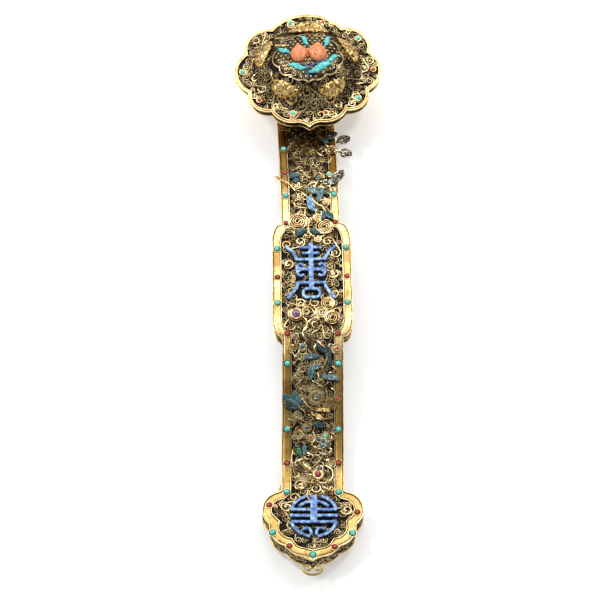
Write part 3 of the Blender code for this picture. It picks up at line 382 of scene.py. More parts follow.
def polished_gilt():
    """Fire-gilt silver, hammered flat and burnished by hand. To the eye: a soft pale gold sheen,
    cloudy over 25 mm where the gilding is rubbed, with brown specks about 1 mm across, and
    brown under the head and half way down: partly patina where hands don't wear the old
    lacquer off, partly painted shade and painted dim reflections where the shaft slopes."""
    made, tree, shader = new_finish("polished_gilt_silver", Metallic=1.0)
    place = add(tree, "TexCoord").outputs["Object"]
    broad = add(tree, "TexNoise", links=(("Vector", place),), Scale=40.0, Detail=4.0,
                Roughness=0.6)
    fine = add(tree, "TexNoise", links=(("Vector", place),), Scale=420.0, Detail=4.0,
               Roughness=0.65).outputs["Fac"]
    split = add(tree, "SeparateXYZ", links=(("Vector", place),))
    along = add(tree, "MapRange", links=(("Value", split.outputs["Y"]),), From_Min=-0.25,
                From_Max=0.25)
    base = add(tree, "ValToRGB", links=(("Fac", broad.outputs["Fac"]),),
               stops=((0.33, "A8844E"), (0.47, "DCBB7C"), (0.66, "F3E0AC")))
    specks = add(tree, "ValToRGB", links=(("Fac", fine),),
                 stops=((0.3, "7C5C34"), (0.45, "FFFFFF")))
    # Browner bands near the head and low on the shaft: patina and painted shade.
    patina_and_painted_shade = add(tree, "ValToRGB", links=(("Fac", along.outputs["Result"]),),
                  stops=((0.12, "E6E0CE"), (0.24, "BCAC88"), (0.36, "A8987A"), (0.42, "FFFFFF"),
                         (0.6, "FFFFFF"), (0.68, "A48C62"), (0.76, "8E7650"), (0.79, "FFFFFF")))
    tone = base.outputs["Color"]
    for layer, share in ((specks, 0.8), (patina_and_painted_shade, 1.0)):
        mix = add(tree, "Mix", data_type="RGBA", blend_type="MULTIPLY", Factor=share)
        tree.links.new(tone, mix.inputs[6])
        tree.links.new(layer.outputs["Color"], mix.inputs[7])
        tone = mix.outputs[2]
    tree.links.new(tone, shader.inputs["Base Color"])
    rough = add(tree, "MapRange", links=(("Value", fine),), To_Min=0.46, To_Max=0.26)
    tree.links.new(rough.outputs["Result"], shader.inputs["Roughness"])
    dents = add(tree, "Bump", links=(("Height", fine),), Distance=0.05 * MM)
    tree.links.new(dents.outputs["Normal"], shader.inputs["Normal"])
    return made


def gilt_wire(name, light, dark, rough=0.24):
    """Drawn and fire-gilt silver wire. To the eye: thin bright lines on its crowns, dull brown
    in patches some 7 mm long where the gilding has gone."""
    return mottled(name, dict(Scale=140.0, Detail=4.0, Roughness=0.7),
                   ((0.4, dark), (0.6, light)), Metallic=1.0, Roughness=rough)


def tarnish_and_shade_ground():
    """Sheet silver under the scrolls, dark with tarnish and painted near black as the deep shade
    between the wires. To the eye: nearly no shine, so that the wires stand out against it."""
    return mottled("tarnish_and_painted_shade", dict(Scale=250.0, Detail=4.0, Roughness=0.6),
                   ((0.35, "070504"), (0.7, "22180E")), Roughness=0.75, Specular_IOR_Level=0.25)


def chased_relief_painted_folds():
    """Gilt sheet worked from the back and chased. To the eye: painted highlight, pale gold, on the
    high places of the bumps, and painted shade, brown, in their folds, which are 1 to 2 mm across."""
    return mottled("chased_gilt_painted_fold_shade",
                   dict(Scale=480.0, Detail=1.5, Roughness=0.5, Distortion=1.2),
                   ((0.36, "66481E"), (0.47, "DDB062"), (0.62, "FCE4A6")), 0.35, Metallic=1.0,
                   Roughness=0.34)


def cut_stone(name, vein, main, light, rough, grain=1.6):
    """An opaque stone, ground and rubbed to a polish. To the eye: mottled in grains of this
    size in millimetres, with a soft waxy gloss."""
    return mottled(name, dict(Scale=1000.0 / grain, Detail=4.0, Roughness=0.65),
                   ((0.3, vein), (0.48, main), (0.7, light)), Roughness=rough, Coat_Weight=0.25,
                   Coat_Roughness=0.2)


def glass_stone(name, deep, main):
    """A clear coloured stone, polished, over a foil. To the eye: dark and cloudy inside, with
    one sharp highlight."""
    return mottled(name, dict(Scale=500.0, Detail=3.0), ((0.35, deep), (0.65, main)),
                   Roughness=0.12, Coat_Weight=0.6, Coat_Roughness=0.05)


def fired_enamel(name, deep, main, light, cloud_size):
    """Glass enamel fired on a metal cut-out. To the eye: a soft gloss over a cloudy colour,
    paler where it is thin and dark in the pits; the clouds' size is in millimetres."""
    return mottled(name, dict(Scale=1000.0 / cloud_size, Detail=4.0, Roughness=0.6),
                   ((0.34, deep), (0.5, main), (0.66, light)), 0.12, Roughness=0.32,
                   Coat_Weight=0.3, Coat_Roughness=0.25)


GILT = polished_gilt()
WIRE = gilt_wire("filigree_wire", "DCC490", "58422A", 0.36)
BRIGHT_WIRE = gilt_wire("bright_gilt_wire", "FBE8B4", "C8A468")
GRANULE = gilt_wire("gilt_granules", "FFF0C8", "D8B478", 0.5)
# Dark sheets: tarnish, painted near black as the deep shade under wires, in seams and stones.
TARNISH_AND_SHADE = tarnish_and_shade_ground()
# Chased gilt: painted highlight on the bumps' high places and painted shade in their folds.
FOLD_SHADED_RELIEF = chased_relief_painted_folds()
TURQUOISE = cut_stone("turquoise_cabochon", "22A898", "58DCCB", "A8F8EC", 0.3)
CORAL = cut_stone("red_coral_cabochon", "7C2018", "BC3A28", "E0604A", 0.25)
GARNET = glass_stone("garnet_cabochon", "3A1614", "7A3A34")
PEACH = cut_stone("carved_pink_coral", "D0522E", "F28850", "FDBC86", 0.42, 2.2)
LEAF = cut_stone("turquoise_leaf", "1FA2A8", "4ED2D2", "9CF0EA", 0.45, 2.0)
BLUE = fired_enamel("blue_enamel", "203C88", "5C90D4", "BEE0F8", 3.2)
TEAL = fired_enamel("teal_enamel", "0C2A2E", "22585E", "6CA6A8", 1.6)
DARK_TEAL = fired_enamel("dark_teal_enamel", "040A0A", "0E262A", "3E6E72", 1.6)
PALE_TEAL = fired_enamel("worn_teal_enamel", "23393C", "567C80", "A6C4C4", 1.5)
SKY = fired_enamel("sky_blue_enamel", "2E5A84", "6CA4CC", "CCE8F8", 1.6)
LAPIS = cut_stone("blue_bead", "0C2A40", "1F5A7C", "5A9AB4", 0.25)
STEM = fired_enamel("blue_grey_enamel", "1C3560", "37598C", "6C90B4", 2.0)
SILVERY = gilt_wire("silvered_wire", "CFC8B8", "4A4236")
AMETHYST = glass_stone("pale_amethyst", "46304E", "A484AC")
RUBY = glass_stone("dark_red_stone", "4C0E10", "B8322A")
SMOKE = glass_stone("grey_stone", "0E1418", "66727C")
GREEN = glass_stone("green_stone", "0C2C1E", "2F8C5E")
PEARL = cut_stone("seed_pearl", "A8A49C", "DEDAD2", "FFFFFF", 0.25)


# Making pieces

def pick(*pieces):
    """Select these pieces alone, the first of them active."""
    bpy.ops.object.select_all(action="DESELECT")
    for piece in pieces:
        piece.select_set(True)
    bpy.context.view_layer.objects.active = pieces[0]


def keep(piece, where, name, finish, nodes=(), angle=40.0):
    """Carry a piece to its place, name it, give it its finish and hang it under the root body."""
    carry(piece, where)
    piece.name = name
    piece.data.name = name
    piece.data.materials.clear()
    piece.data.materials.append(finish)
    pick(piece)
    bpy.ops.object.shade_smooth_by_angle(angle=math.radians(angle))
    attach(piece, "root")
    if nodes:
        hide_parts(*nodes)


def link(data):
    piece = bpy.data.objects.new("piece", data)
    bpy.context.scene.collection.objects.link(piece)
    return piece


def join(pieces):
    """Several meshes as one object."""
    if len(pieces) > 1:
        pick(*pieces)
        bpy.ops.object.join()
    return pieces[0]


def drawn(curve):
    """The mesh of a curve, as an object."""
    pick(link(curve))
    bpy.ops.object.convert(target="MESH")
    return bpy.context.view_layer.objects.active


def finished(work):
    """A bmesh as an object, its faces turned outwards."""
    bmesh.ops.recalc_face_normals(work, faces=work.faces)
    mesh = bpy.data.meshes.new("piece")
    work.to_mesh(mesh)
    work.free()
    return link(mesh)


WIRE_ROLL = 0.26


def wires(paths, radius, sides=0):
    """Wires of one thickness along flat paths of (across, along, height), closed at the ends.
    With no extra sides the wire is square and lies flat, rolling a little as it goes."""
    curve = bpy.data.curves.new("wire", "CURVE")
    curve.dimensions = "3D"
    curve.bevel_depth = radius
    curve.bevel_resolution = sides
    curve.use_fill_caps = True
    curve.twist_mode = "Z_UP"
    for path in paths:
        spline = curve.splines.new("POLY")
        spline.points.add(len(path) - 1)
        for i, place in enumerate(path):
            spline.points[i].co = (*place, 1.0)
            roll = math.pi / 4 + WIRE_ROLL * math.sin(1.3 * i + len(curve.splines))
            spline.points[i].tilt = roll if sides == 0 else 0.0
    return drawn(curve)


def closed_wire(outline, height, radius):
    """A round wire along a closed outline, its ends lapped in one point."""
    path = [(x, y, height) for x, y in outline]
    return wires([path + path[:1]], radius, 1)


def ring(radius, x, y, height, count=16):
    """The path of a closed round wire, flat."""
    path = [(*place, height) for place in disc(x, y, radius, count)]
    return path + path[:1]


def stacked(levels):
    """A closed solid from rings of points, (outline, height), each joined to the next."""
    work = bmesh.new()
    first = [work.verts.new((x, y, levels[0][1])) for x, y in levels[0][0]]
    around = [work.edges.new((v, first[i - 1])) for i, v in enumerate(first)]
    caps = [work.faces.new(first)]
    for outline, height in levels[1:]:
        made = bmesh.ops.extrude_edge_only(work, edges=around)["geom"]
        corners = [item for item in made if isinstance(item, bmesh.types.BMVert)]
        edges = [item for item in made if isinstance(item, bmesh.types.BMEdge)]
        around = [edge for edge in edges if set(edge.verts) <= set(corners)]
        for vertex, (x, y) in zip(corners, outline):
            vertex.co = (x, y, height)
    caps += bmesh.ops.contextual_create(work, geom=around)["faces"]
    bmesh.ops.triangulate(work, faces=caps)
    return finished(work)


def shaft_solid(levels):
    """A solid inside the shaft's outline, from rings of (distance in, height), cut across every
    3 mm so that it can follow the spine."""
    piece = stacked([(shaft_outline(gap), height) for gap, height in levels])
    work = bmesh.new()
    work.from_mesh(piece.data)
    for station in range(3, int(SPINE_END), 3):
        everything = work.verts[:] + work.edges[:] + work.faces[:]
        bmesh.ops.bisect_plane(work, geom=everything, dist=0.001, plane_co=(0, station, 0),
                               plane_no=(0, 1, 0))
    work.to_mesh(piece.data)
    work.free()
    return piece


def head_solid(levels):
    """A solid inside the head's outline, from rings of (distance in, height)."""
    return stacked([(inset(head_outline(), gap), height) for gap, height in levels])


def cut_out(outlines, low, high, voxel, rounds=2):
    """A flat shape with softly rounded edges, remeshed evenly so that it can be shaped."""
    pieces = []
    for points in outlines:
        curve = bpy.data.curves.new("outline", "CURVE")
        curve.dimensions = "2D"
        curve.fill_mode = "BOTH"
        curve.extrude = (high - low) / 2
        spline = curve.splines.new("POLY")
        spline.points.add(len(points) - 1)
        spline.use_cyclic_u = True
        for point, place in zip(spline.points, points):
            point.co = (place[0], place[1], 0.0, 1.0)
        item = drawn(curve)
        work = bmesh.new()
        work.from_mesh(item.data)
        bmesh.ops.remove_doubles(work, verts=work.verts, dist=0.001)
        bmesh.ops.recalc_face_normals(work, faces=work.faces)
        bmesh.ops.translate(work, verts=work.verts, vec=(0.0, 0.0, (low + high) / 2))
        work.to_mesh(item.data)
        work.free()
        pieces.append(item)
    piece = join(pieces)
    remesh = piece.modifiers.new("even", "REMESH")
    remesh.mode = "VOXEL"
    remesh.voxel_size = voxel
    smooth = piece.modifiers.new("soft", "SMOOTH")
    smooth.iterations = rounds
    smooth.factor = 0.5
    pick(piece)
    for name in ("even", "soft"):
        bpy.ops.object.modifier_apply(modifier=name)
    return piece


def swell(piece, outline, rise, reach, low):
    """Pillow a flat cut-out: what is above low rises by rise, over reach in from its edge."""
    def raised(flat):
        upper = flat[:, 2] > low
        gap = np.clip(edge_distance(flat[upper][:, :2], outline) / reach, 0, 1)
        flat[upper, 2] += rise * np.sqrt(1 - (1 - gap) ** 2)
        return flat

    return carry(piece, raised)


def cut_sphere(sides, rings, floor):
    """A ball of radius 1 as a bmesh, cut off flat and closed at this height."""
    work = bmesh.new()
    bmesh.ops.create_uvsphere(work, u_segments=sides, v_segments=rings, radius=1.0)
    everything = work.verts[:] + work.edges[:] + work.faces[:]
    cut = bmesh.ops.bisect_plane(work, geom=everything, plane_co=(0, 0, floor),
                                 plane_no=(0, 0, 1), clear_inner=True, dist=1e-5)
    rim = [item for item in cut["geom_cut"] if isinstance(item, bmesh.types.BMEdge)]
    bmesh.ops.contextual_create(work, geom=rim)
    return work


def ball(radius, flatness, x, y, low, rings=10):
    """A round cabochon, flat below, standing at height low on a flat place."""
    work = cut_sphere(16, rings, -0.3)
    for vertex in work.verts:
        across, along, up = vertex.co
        vertex.co = (x + across * radius, y + along * radius,
                     low + (up + 0.3) / 1.3 * radius * flatness)
    return finished(work)


def turned(x, y, degrees, across, along):
    """Where a point of a shape lands when the shape is turned and its origin set at (x, y)."""
    angle = math.radians(degrees)
    return (x + across * math.cos(angle) - along * math.sin(angle),
            y + across * math.sin(angle) + along * math.cos(angle))


def beads(places, radius):
    """Small round granules at flat places (across, along, height), as one mesh."""
    template = bmesh.new()
    bmesh.ops.create_icosphere(template, subdivisions=1, radius=radius)
    corners = np.array([tuple(v.co) for v in template.verts])
    faces = [[v.index for v in f.verts] for f in template.faces]
    template.free()
    count = len(corners)
    everything = np.concatenate([corners + np.array(p) for p in places])
    mesh = bpy.data.meshes.new("granules")
    mesh.from_pydata([tuple(v) for v in everything], [],
                     [[i + k * count for i in f] for k in range(len(places)) for f in faces])
    return link(mesh)


# Filigree

def scroll(centre, radius, start, sense, height, turns, count=13):
    """A wire that curls in from the rim of a circle to near its middle."""
    return [(*polar(centre, radius * (1 - 0.78 * i / count),
                    start + sense * math.tau * turns * i / count), height)
            for i in range(count + 1)]


def scattered(outline, pitch, gap, dice):
    """Places on a loose hexagonal grid inside an outline, each with its room to the edge."""
    xs, ys = [x for x, y in outline], [y for x, y in outline]
    places = []
    row = 0
    y = min(ys)
    while y < max(ys):
        x = min(xs) + (row % 2) * pitch / 2
        while x < max(xs):
            places.append((x + dice.uniform(-0.16, 0.16) * pitch,
                           y + dice.uniform(-0.16, 0.16) * pitch))
            x += pitch
        y += pitch * 0.87
        row += 1
    rooms = edge_distance(places, outline)
    return [(p, room) for p, room in zip(places, rooms) if room > gap]


def scroll_work(outline, pitch, height, dice, turns=1.5, fill=0.52, avoid=(), sparse=0.0):
    """Paired C and S scrolls packed inside an outline, as flat wire paths."""
    spots = scattered(outline, pitch, pitch * 0.2, dice)
    for region in avoid:
        clear = edge_distance([p for p, room in spots], region)
        spots = [spot for spot, gap in zip(spots, clear) if gap < -pitch * 0.2]
    left = [i for i in range(len(spots)) if dice.random() >= sparse]
    paths = []
    while left:
        here, room = spots[left.pop(0)]
        radius = min(pitch * fill, room)
        near = [i for i in left[:60] if math.dist(spots[i][0], here) < pitch * 1.5]
        lift = height + dice.uniform(-0.15, 0.15)
        if not near:
            paths.append(scroll(here, radius, dice.uniform(0, math.tau), 1, lift, turns))
            continue
        other = dice.choice(near)
        left.remove(other)
        there, room = spots[other]
        heading = math.atan2(there[1] - here[1], there[0] - here[0])
        side = dice.choice((-1, 1))
        far = dice.choice((-side, side))
        one = scroll(here, radius, heading + side * math.pi / 2, side, lift, turns)
        two = scroll(there, min(pitch * fill, room), heading + far * math.pi / 2, -far, lift,
                     turns)
        paths.append(one[::-1] + two)
    return paths


def keep_scrolls(name, where, fine, bold, bold_wire, vines):
    """Fine and bold scrolls as one piece, and the vines with the granules in the bold ones'
    eyes as another."""
    keep(join([wires(fine, FINE_WIRE), wires(bold, bold_wire)]), where, name + "_scrolls", WIRE)
    eyes = [(*path[end][:2], path[end][2] + 0.2) for path in bold for end in (0, -1)]
    keep(join([wires(vines, VINE_WIRE), beads(eyes, EYE_GRANULE)]), where, name + "_vines",
         BRIGHT_WIRE)


def on_wall(outline, where):
    """A carrier for the wall below an outline: flat points are (round it, down it, out of it)."""
    loop = np.array(outline + outline[:1], float)
    way = np.diff(loop, axis=0)
    lengths = np.concatenate([[0], np.cumsum(np.hypot(*way.T))])
    way = np.concatenate([way, way[:1]])
    out = np.stack([way[:, 1], -way[:, 0]], axis=1)
    out /= np.maximum(np.hypot(out[:, 0], out[:, 1]), 1e-9)[:, None]
    softened = (out + np.roll(out, 1, axis=0)) / 2

    def carried(flat):
        at = np.mod(flat[:, 0], lengths[-1])
        x, y = [np.interp(at, lengths, loop[:, i])
                + np.interp(at, lengths, softened[:, i]) * flat[:, 2] for i in (0, 1)]
        return where(np.stack([x, y, -flat[:, 1]], axis=1))

    return carried, lengths[-1]


def keep_wall_scrolls(name, carried, around, top, low, pitch, proud, radius, dice):
    """Scrolls in a band right round a wall, between two depths below its upper edge."""
    strip = [(0.0, top), (around, top), (around, low), (0.0, low)]
    keep(wires(scroll_work(strip, pitch, proud, dice), radius), carried, name, WIRE)


# Shaft

def make_shaft():
    """Polished border, side walls and back as one box with a sunk field on its face, and the
    dark sheet in the field."""
    box = shaft_solid(((BORDER_WIDTH, -FIELD_SINK), (BORDER_WIDTH, -0.4), (6.0, -0.3),
                       (5.6, -0.1), (4.6, 0.0), (3.4, 0.05), (2.0, 0.0), (1.4, -0.1),
                       (1.0, -0.35), (0.35, -0.35), (0.35, -1.5), (0.9, -1.7), (0.9, -10.2),
                       (0.35, -10.4), (0.35, -11.6), (0.7, -12.0), (3.2, -12.0), (3.4, -11.0)))
    keep(box, to_shaft, "shaft_box", GILT, nodes=("shaft_case",), angle=30.0)
    # The field's sheet: tarnish, painted near black as the shade under the wires.
    sheet = shaft_solid(((BORDER_WIDTH - 0.05, -FIELD_SINK + 0.08),
                         (BORDER_WIDTH - 0.05, -FIELD_SINK - 0.3)))
    keep(sheet, to_shaft, "field_ground", TARNISH_AND_SHADE)


def make_field_scrolls():
    """Scroll work over the field of foot, shaft and panel, in stretches: bold scrolls with a
    granule in each eye, finer ones showing between them below, and a few bright vines on top."""
    dice = random.Random(11)
    area = shaft_outline(BORDER_WIDTH + 0.2)
    emblems = (disc(*ROUND_CENTRE, ROUND_RADIUS - 1.0), long_emblem_ground())
    fine = scroll_work(area, 3.3, FINE_LEVEL, dice, turns=1.0, sparse=0.45)
    bold = scroll_work(area, 5.8, BOLD_LEVEL, dice, avoid=emblems)
    vines = scroll_work(area, 9.5, 0.0, dice, turns=1.2, fill=0.42, avoid=emblems, sparse=0.4)
    for name, low, high in (("foot", -5.0, 56.0), ("lower", 56.0, PANEL_START),
                            ("panel", PANEL_START, PANEL_END), ("upper", PANEL_END, SPINE_END)):
        here = [[path for path in paths if low <= path[0][1] < high]
                for paths in (fine, bold, vines)]
        keep_scrolls(name, to_shaft, here[0], here[1], 0.33, here[2])


def make_border_wires():
    """Wires along both edges of the polished border, with painted shade in the seams."""
    edges = [closed_wire(shaft_outline(gap), height, EDGE_WIRE) for gap, height in
             ((BORDER_WIDTH - 0.15, -0.1), (0.6, -0.2), (0.6, -SHAFT_DEPTH + 0.9))]
    keep(join(edges), to_shaft, "border_wires", BRIGHT_WIRE)
    # Thin dark lines beside the edge wires: painted shade of the seams.
    seam_shade_lines = [closed_wire(shaft_outline(gap), 0.0, 0.16) for gap in (1.1, BORDER_WIDTH - 0.7)]
    keep(join(seam_shade_lines), to_shaft, "border_seam_painted_shade", TARNISH_AND_SHADE)


def make_wall_scrolls():
    """Scrolls and granules on the side walls of foot, shaft and panel."""
    carried, around = on_wall(shaft_outline(0.9), to_shaft)
    keep_wall_scrolls("wall_scrolls", carried, around, 2.0, 10.2, 4.0, 0.12, 0.26,
                      random.Random(23))
    count = int(around / 5.2)
    places = [(around * i / count, 6.1, 0.35) for i in range(count)]
    keep(beads(places, 0.62), carried, "wall_granules", GRANULE)
    band = shaft_solid(((1.5, -1.9), (0.84, -1.9), (0.84, -10.0), (1.5, -10.0)))
    keep(band, to_shaft, "wall_ground", TARNISH_AND_SHADE)


def make_back():
    """Larger scrolls in the sunk field of the back, over a dark sheet."""
    dice = random.Random(5)
    area = [(x, y) for x, y in shaft_outline(3.6) if y < BACK_END]
    paths = scroll_work(area, 6.2, -11.45, dice, turns=1.6)
    keep(wires(paths, 0.3), to_shaft, "back_scrolls", WIRE)
    keep(shaft_solid(((3.3, -11.25), (3.3, -10.8))), to_shaft, "back_ground", TARNISH_AND_SHADE)


# Stones, as (finish, radius, height in radii, slot)

STONE_LOOKS = {"turquoise": (TURQUOISE, 1.9, 1.05, "turquoise"),
               "coral": (CORAL, 1.6, 0.95, "coral"), "garnet": (GARNET, 2.0, 0.9, "coral")}


def set_stone(name, look, x, y, low, where, nodes=()):
    """Keep one cabochon; its radius is given back."""
    finish, radius, flatness, slot = STONE_LOOKS[look]
    keep(ball(radius, flatness, x, y, low), where, name, finish, nodes, 80.0)
    return radius


def make_stones():
    """Every cabochon of border, foot and head in its own wire collet."""
    places = list(FOOT_STONES)
    for row in range(STONE_ROWS):
        station = STONE_FIRST + row * STONE_PITCH
        on_panel = PANEL_START + PANEL_CORNER < station < PANEL_END - PANEL_CORNER
        across = ((PANEL_WIDTH if on_panel else SHAFT_WIDTH) - BORDER_WIDTH) / 2 - STONE_INSET
        look, shift = (("turquoise", 0.0), ("coral", CORAL_STEP))[row % 2]
        for side, sign in (("left", -1), ("right", 1)):
            if (side, row) not in STONES_HIDDEN:
                name = f"border_stone_{side}_{row + 1:02d}"
                places.append((name, sign * across, station + shift, look))
    collets, stone_shadow_discs = [], []
    for node, x, s, look in places:
        radius = set_stone("cabochon_" + node, look, x, s, 0.1, to_shaft, (node,))
        collets.append(ring(radius + 0.75, x, s, 0.3))
        # A low dark disc under each stone: painted shadow round its collet.
        stone_shadow_discs.append(ball(radius + 0.75, 0.3, x, s, 0.02, 6))
    keep(wires(collets, 0.26, 1), to_shaft, "border_collets", BRIGHT_WIRE)
    keep(join(stone_shadow_discs), to_shaft, "border_stone_painted_shadows", TARNISH_AND_SHADE)
    collets = []
    for number, (x, y, look) in enumerate(HEAD_STONES):
        radius = set_stone(f"head_cabochon_{number}", look, x, y, -0.7, to_plate)
        collets.append(ring(radius + 0.3, x, y, -0.4))
    keep(wires(collets, 0.4, 1), to_plate, "head_collets", BRIGHT_WIRE)


# Head

def domed_sheet(outline, middle, low, high, count):
    """A closed sheet to lay over the dome inside an outline, between two heights above it."""
    cx, cy = middle
    shares = [i / count for i in range(1, count + 1)]
    rings = [[(cx + (x - cx) * f, cy + (y - cy) * f) for x, y in outline] for f in shares]
    return stacked([(points, high) for points in rings] + [(points, low) for points in rings[::-1]])


def make_head_plate():
    """The lobed plate: polished crowned rim, side wall, underside and the domed ground."""
    plate = head_solid(((HEAD_RIM, -HEAD_SINK), (HEAD_RIM, -0.4), (2.0, -0.1), (1.7, 0.0),
                        (1.2, 0.05), (0.9, -0.05), (0.5, -0.3), (0.3, -0.6), (0.3, -1.5),
                        (0.8, -1.7), (0.8, -4.4), (0.3, -4.6), (0.3, -5.4), (0.6, -HEAD_WALL)))
    keep(plate, to_plate, "head_plate", GILT, nodes=("head_case",), angle=30.0)
    # The dome's sheet: tarnish, painted near black as the shade under the wires.
    ground = domed_sheet(inset(head_outline(), HEAD_RIM - 0.05), (0.0, 0.0), -0.3, 0.1, 30)
    keep(ground, to_dome, "dome_ground", TARNISH_AND_SHADE)


def make_head_wires():
    """Rim wires, the ring of spirals, the finer dome and the side wall's scrolls."""
    outline = head_outline()
    rims = [closed_wire(inset(outline, gap), height, radius) for gap, height, radius in
            ((HEAD_RIM, -0.2, 0.4), (0.55, -0.25, 0.45), (0.55, -HEAD_WALL + 0.7, 0.45))]
    keep(join(rims), to_plate, "head_rim_wires", BRIGHT_WIRE)
    dice = random.Random(31)
    field = inset(outline, HEAD_RIM + 0.3)
    medallion = (medallion_outline(),)
    fine = scroll_work(field, 3.3, 0.35, dice, turns=1.0, avoid=medallion, sparse=0.6)
    bold = scroll_work(field, 5.8, 0.95, dice, avoid=medallion)
    vines = scroll_work(field, 9.0, 1.4, dice, turns=1.2, fill=0.42, avoid=medallion, sparse=0.3)
    keep_scrolls("dome", to_dome, fine, bold, 0.35, vines)
    carried, around = on_wall(inset(outline, 0.8), to_plate)
    keep_wall_scrolls("head_wall_scrolls", carried, around, 1.6, 4.6, 2.9, 0.1, 0.24, dice)
    band = head_solid(((1.4, -1.8), (0.75, -1.8), (0.75, -4.3), (1.4, -4.3)))
    keep(band, to_plate, "head_wall_ground", TARNISH_AND_SHADE)


NET_PITCH = 3.5


def make_medallion():
    """The lobed plate on the dome: a thick outline wire round rows of ringed granules."""
    outline = medallion_outline()
    plate = domed_sheet(outline, (0.0, MEDALLION_SHIFT), 0.5, 1.1, 16)
    keep(plate, to_dome, "medallion_ground", TARNISH_AND_SHADE, nodes=("head_medallion",))
    keep(closed_wire(outline, 1.5, 0.55), to_dome, "medallion_edge", BRIGHT_WIRE)
    grid = [((i + 0.5 * (j % 2)) * NET_PITCH, j * NET_PITCH * 0.87) for i in range(-8, 9)
            for j in range(-8, 9)]
    depths = edge_distance(grid, outline)
    spots = [spot for spot, depth in zip(grid, depths) if depth > 1.4]
    net = wires([ring(1.6, x, y, 1.15, 10) for x, y in spots], 0.16)
    drops = beads([(x, y, 1.7) for x, y in spots], 0.85)
    keep(net, to_dome, "medallion_net", WIRE)
    keep(drops, to_dome, "medallion_granules", GRANULE, angle=80.0)


# Bats as (node, across, along, span, turn), and the right half of one 30 mm wide
BATS = (("bat_top", 0.9, 34.2, 31.0, 0.0), ("bat_left", -32.8, 11.5, 25.5, 68.0),
        ("bat_right", 31.2, 13.8, 25.0, -60.0), ("bat_lower_left", -18.6, -21.6, 23.5, 150.0),
        ("bat_lower_right", 18.0, -21.8, 22.5, -150.0))
BAT_HALF = ((0.0, -6.4), (2.2, -5.7), (4.4, -6.5), (6.6, -5.3), (9.2, -6.0), (11.4, -4.8),
            (14.4, -5.6), (13.6, -0.8), (9.8, 3.2), (5.8, 5.6), (2.6, 5.6), (1.5, 6.8),
            (0.0, 6.6))
BAT_CURLS = (((-11.8, -27.6), 4.6, 2.6, 1), ((14.4, -27.2), 4.4, 0.5, -1))


def make_bats():
    """Five bats in high relief with ribbed wings, and a curl of wire under the lower two."""
    for node, x, y, span, turn in BATS:
        unit = span / 30.0
        outline = mirrored([(px * unit, py * unit) for px, py in BAT_HALF])
        bat = swell(cut_out([outline], 0.8, 2.2, 0.3, 5), outline, 1.7, 3.0, 1.5)
        for vertex in bat.data.vertices:
            across, along, up = vertex.co
            body = math.exp(-(across / (2.0 * unit)) ** 2 - (along / (6.0 * unit)) ** 2)
            ribs = 0.25 * math.sin(math.atan2(along - 8.0 * unit, abs(across)) * 17.0)
            ribs += 0.35 * math.sin(math.hypot(across, along - 3.0 * unit) * 1.7)
            if up > 1.5:
                up += 1.4 * body + ribs * min(1.0, abs(across) / (3.0 * unit))
            vertex.co = (*turned(x, y, turn, across, along), up)
        keep(bat, to_dome, "chased_" + node, FOLD_SHADED_RELIEF, (node,), 120.0)
    curls = [scroll(eye, radius, start, sense, 2.6, 1.3, 20)
             for eye, radius, start, sense in BAT_CURLS]
    keep(wires(curls, 0.6, 1), to_dome, "bat_curls", FOLD_SHADED_RELIEF)


# Peaches as (node, across, along, width, length, turn)
PEACHES = (("peach_left", -6.3, 3.4, 12.6, 15.4, 8.0), ("peach_right", 7.0, 4.4, 13.2, 17.0, -4.0))
PEACH_THICK = 4.4
PEACH_LOW = 1.8


def make_peaches():
    """Two carved coral peaches with their tips up and a soft groove down each."""
    for node, x, y, width, length, turn in PEACHES:
        work = cut_sphere(64, 32, 0.0)
        for vertex in work.verts:
            across, along, up = vertex.co
            if 0 < along < 0.999:
                across *= (1 - along ** 1.6) ** 1.4 / math.sqrt(1 - along ** 2)
                up *= 1 - 0.4 * along ** 3
                along *= 1 + 0.14 * along ** 2
            groove = 0.35 * math.exp(-((across + 0.22 * (1 - along ** 2)) / 0.07) ** 2)
            height = PEACH_THICK * max(up, 0.0) ** 0.75 * (1 - groove * 0.3)
            vertex.co = (*turned(x, y, turn, across * width / 2, along * length / 2),
                         PEACH_LOW + height)
        keep(finished(work), to_dome, "carved_" + node, PEACH, (node,), 60.0)


LEAF_POINTS = 9


def leaf_outline(tip, base, width, hollow=0.0):
    """A leaf with a drawn-out tip from tip to base, bent into an S by hollow."""
    a, b = Vector(tip), Vector(base)
    way = b - a
    across = Vector((way.y, -way.x)).normalized()
    points = []
    for side in (1, -1):
        for i in range(LEAF_POINTS):
            t = i / LEAF_POINTS if side > 0 else 1 - i / LEAF_POINTS
            out = width / 2 * math.sin(math.pi * t ** 0.85) ** 0.8 * side
            points.append(tuple(a + way * t + across * (out + hollow * math.sin(math.tau * t))))
    return points


# Leaves round the peaches by piece, as (tip, base, width, hollow), and the stem
PEACH_LEAVES = (
    ("leaf_upper_left", "leaf_upper_left", (((-21.0, 11.2), (-12.6, 3.2), 3.3, 0.6),)),
    ("leaf_top_middle", "leaf_top_middle", (((-4.6, 21.4), (1.0, 9.6), 3.3, -0.7),)),
    ("leaf_top_right", "leaf_top_right", (((16.4, 22.6), (11.6, 9.4), 3.3, 0.7),)),
    ("spray", "peach_spray", (((22.4, 3.0), (12.4, -4.0), 3.2, 0.8),
                              ((17.0, -4.8), (-0.6, -12.8), 4.6, 0.8),
                              ((-14.4, -6.2), (-0.8, -9.6), 3.6, -0.8))))
PEACH_STEMS = (((-0.5, -15.8), (-0.2, -9.5), (-3.6, -6.2)),
               ((-0.2, -9.5), (5.2, -5.8), (9.0, -4.4), (14.6, -2.8)))


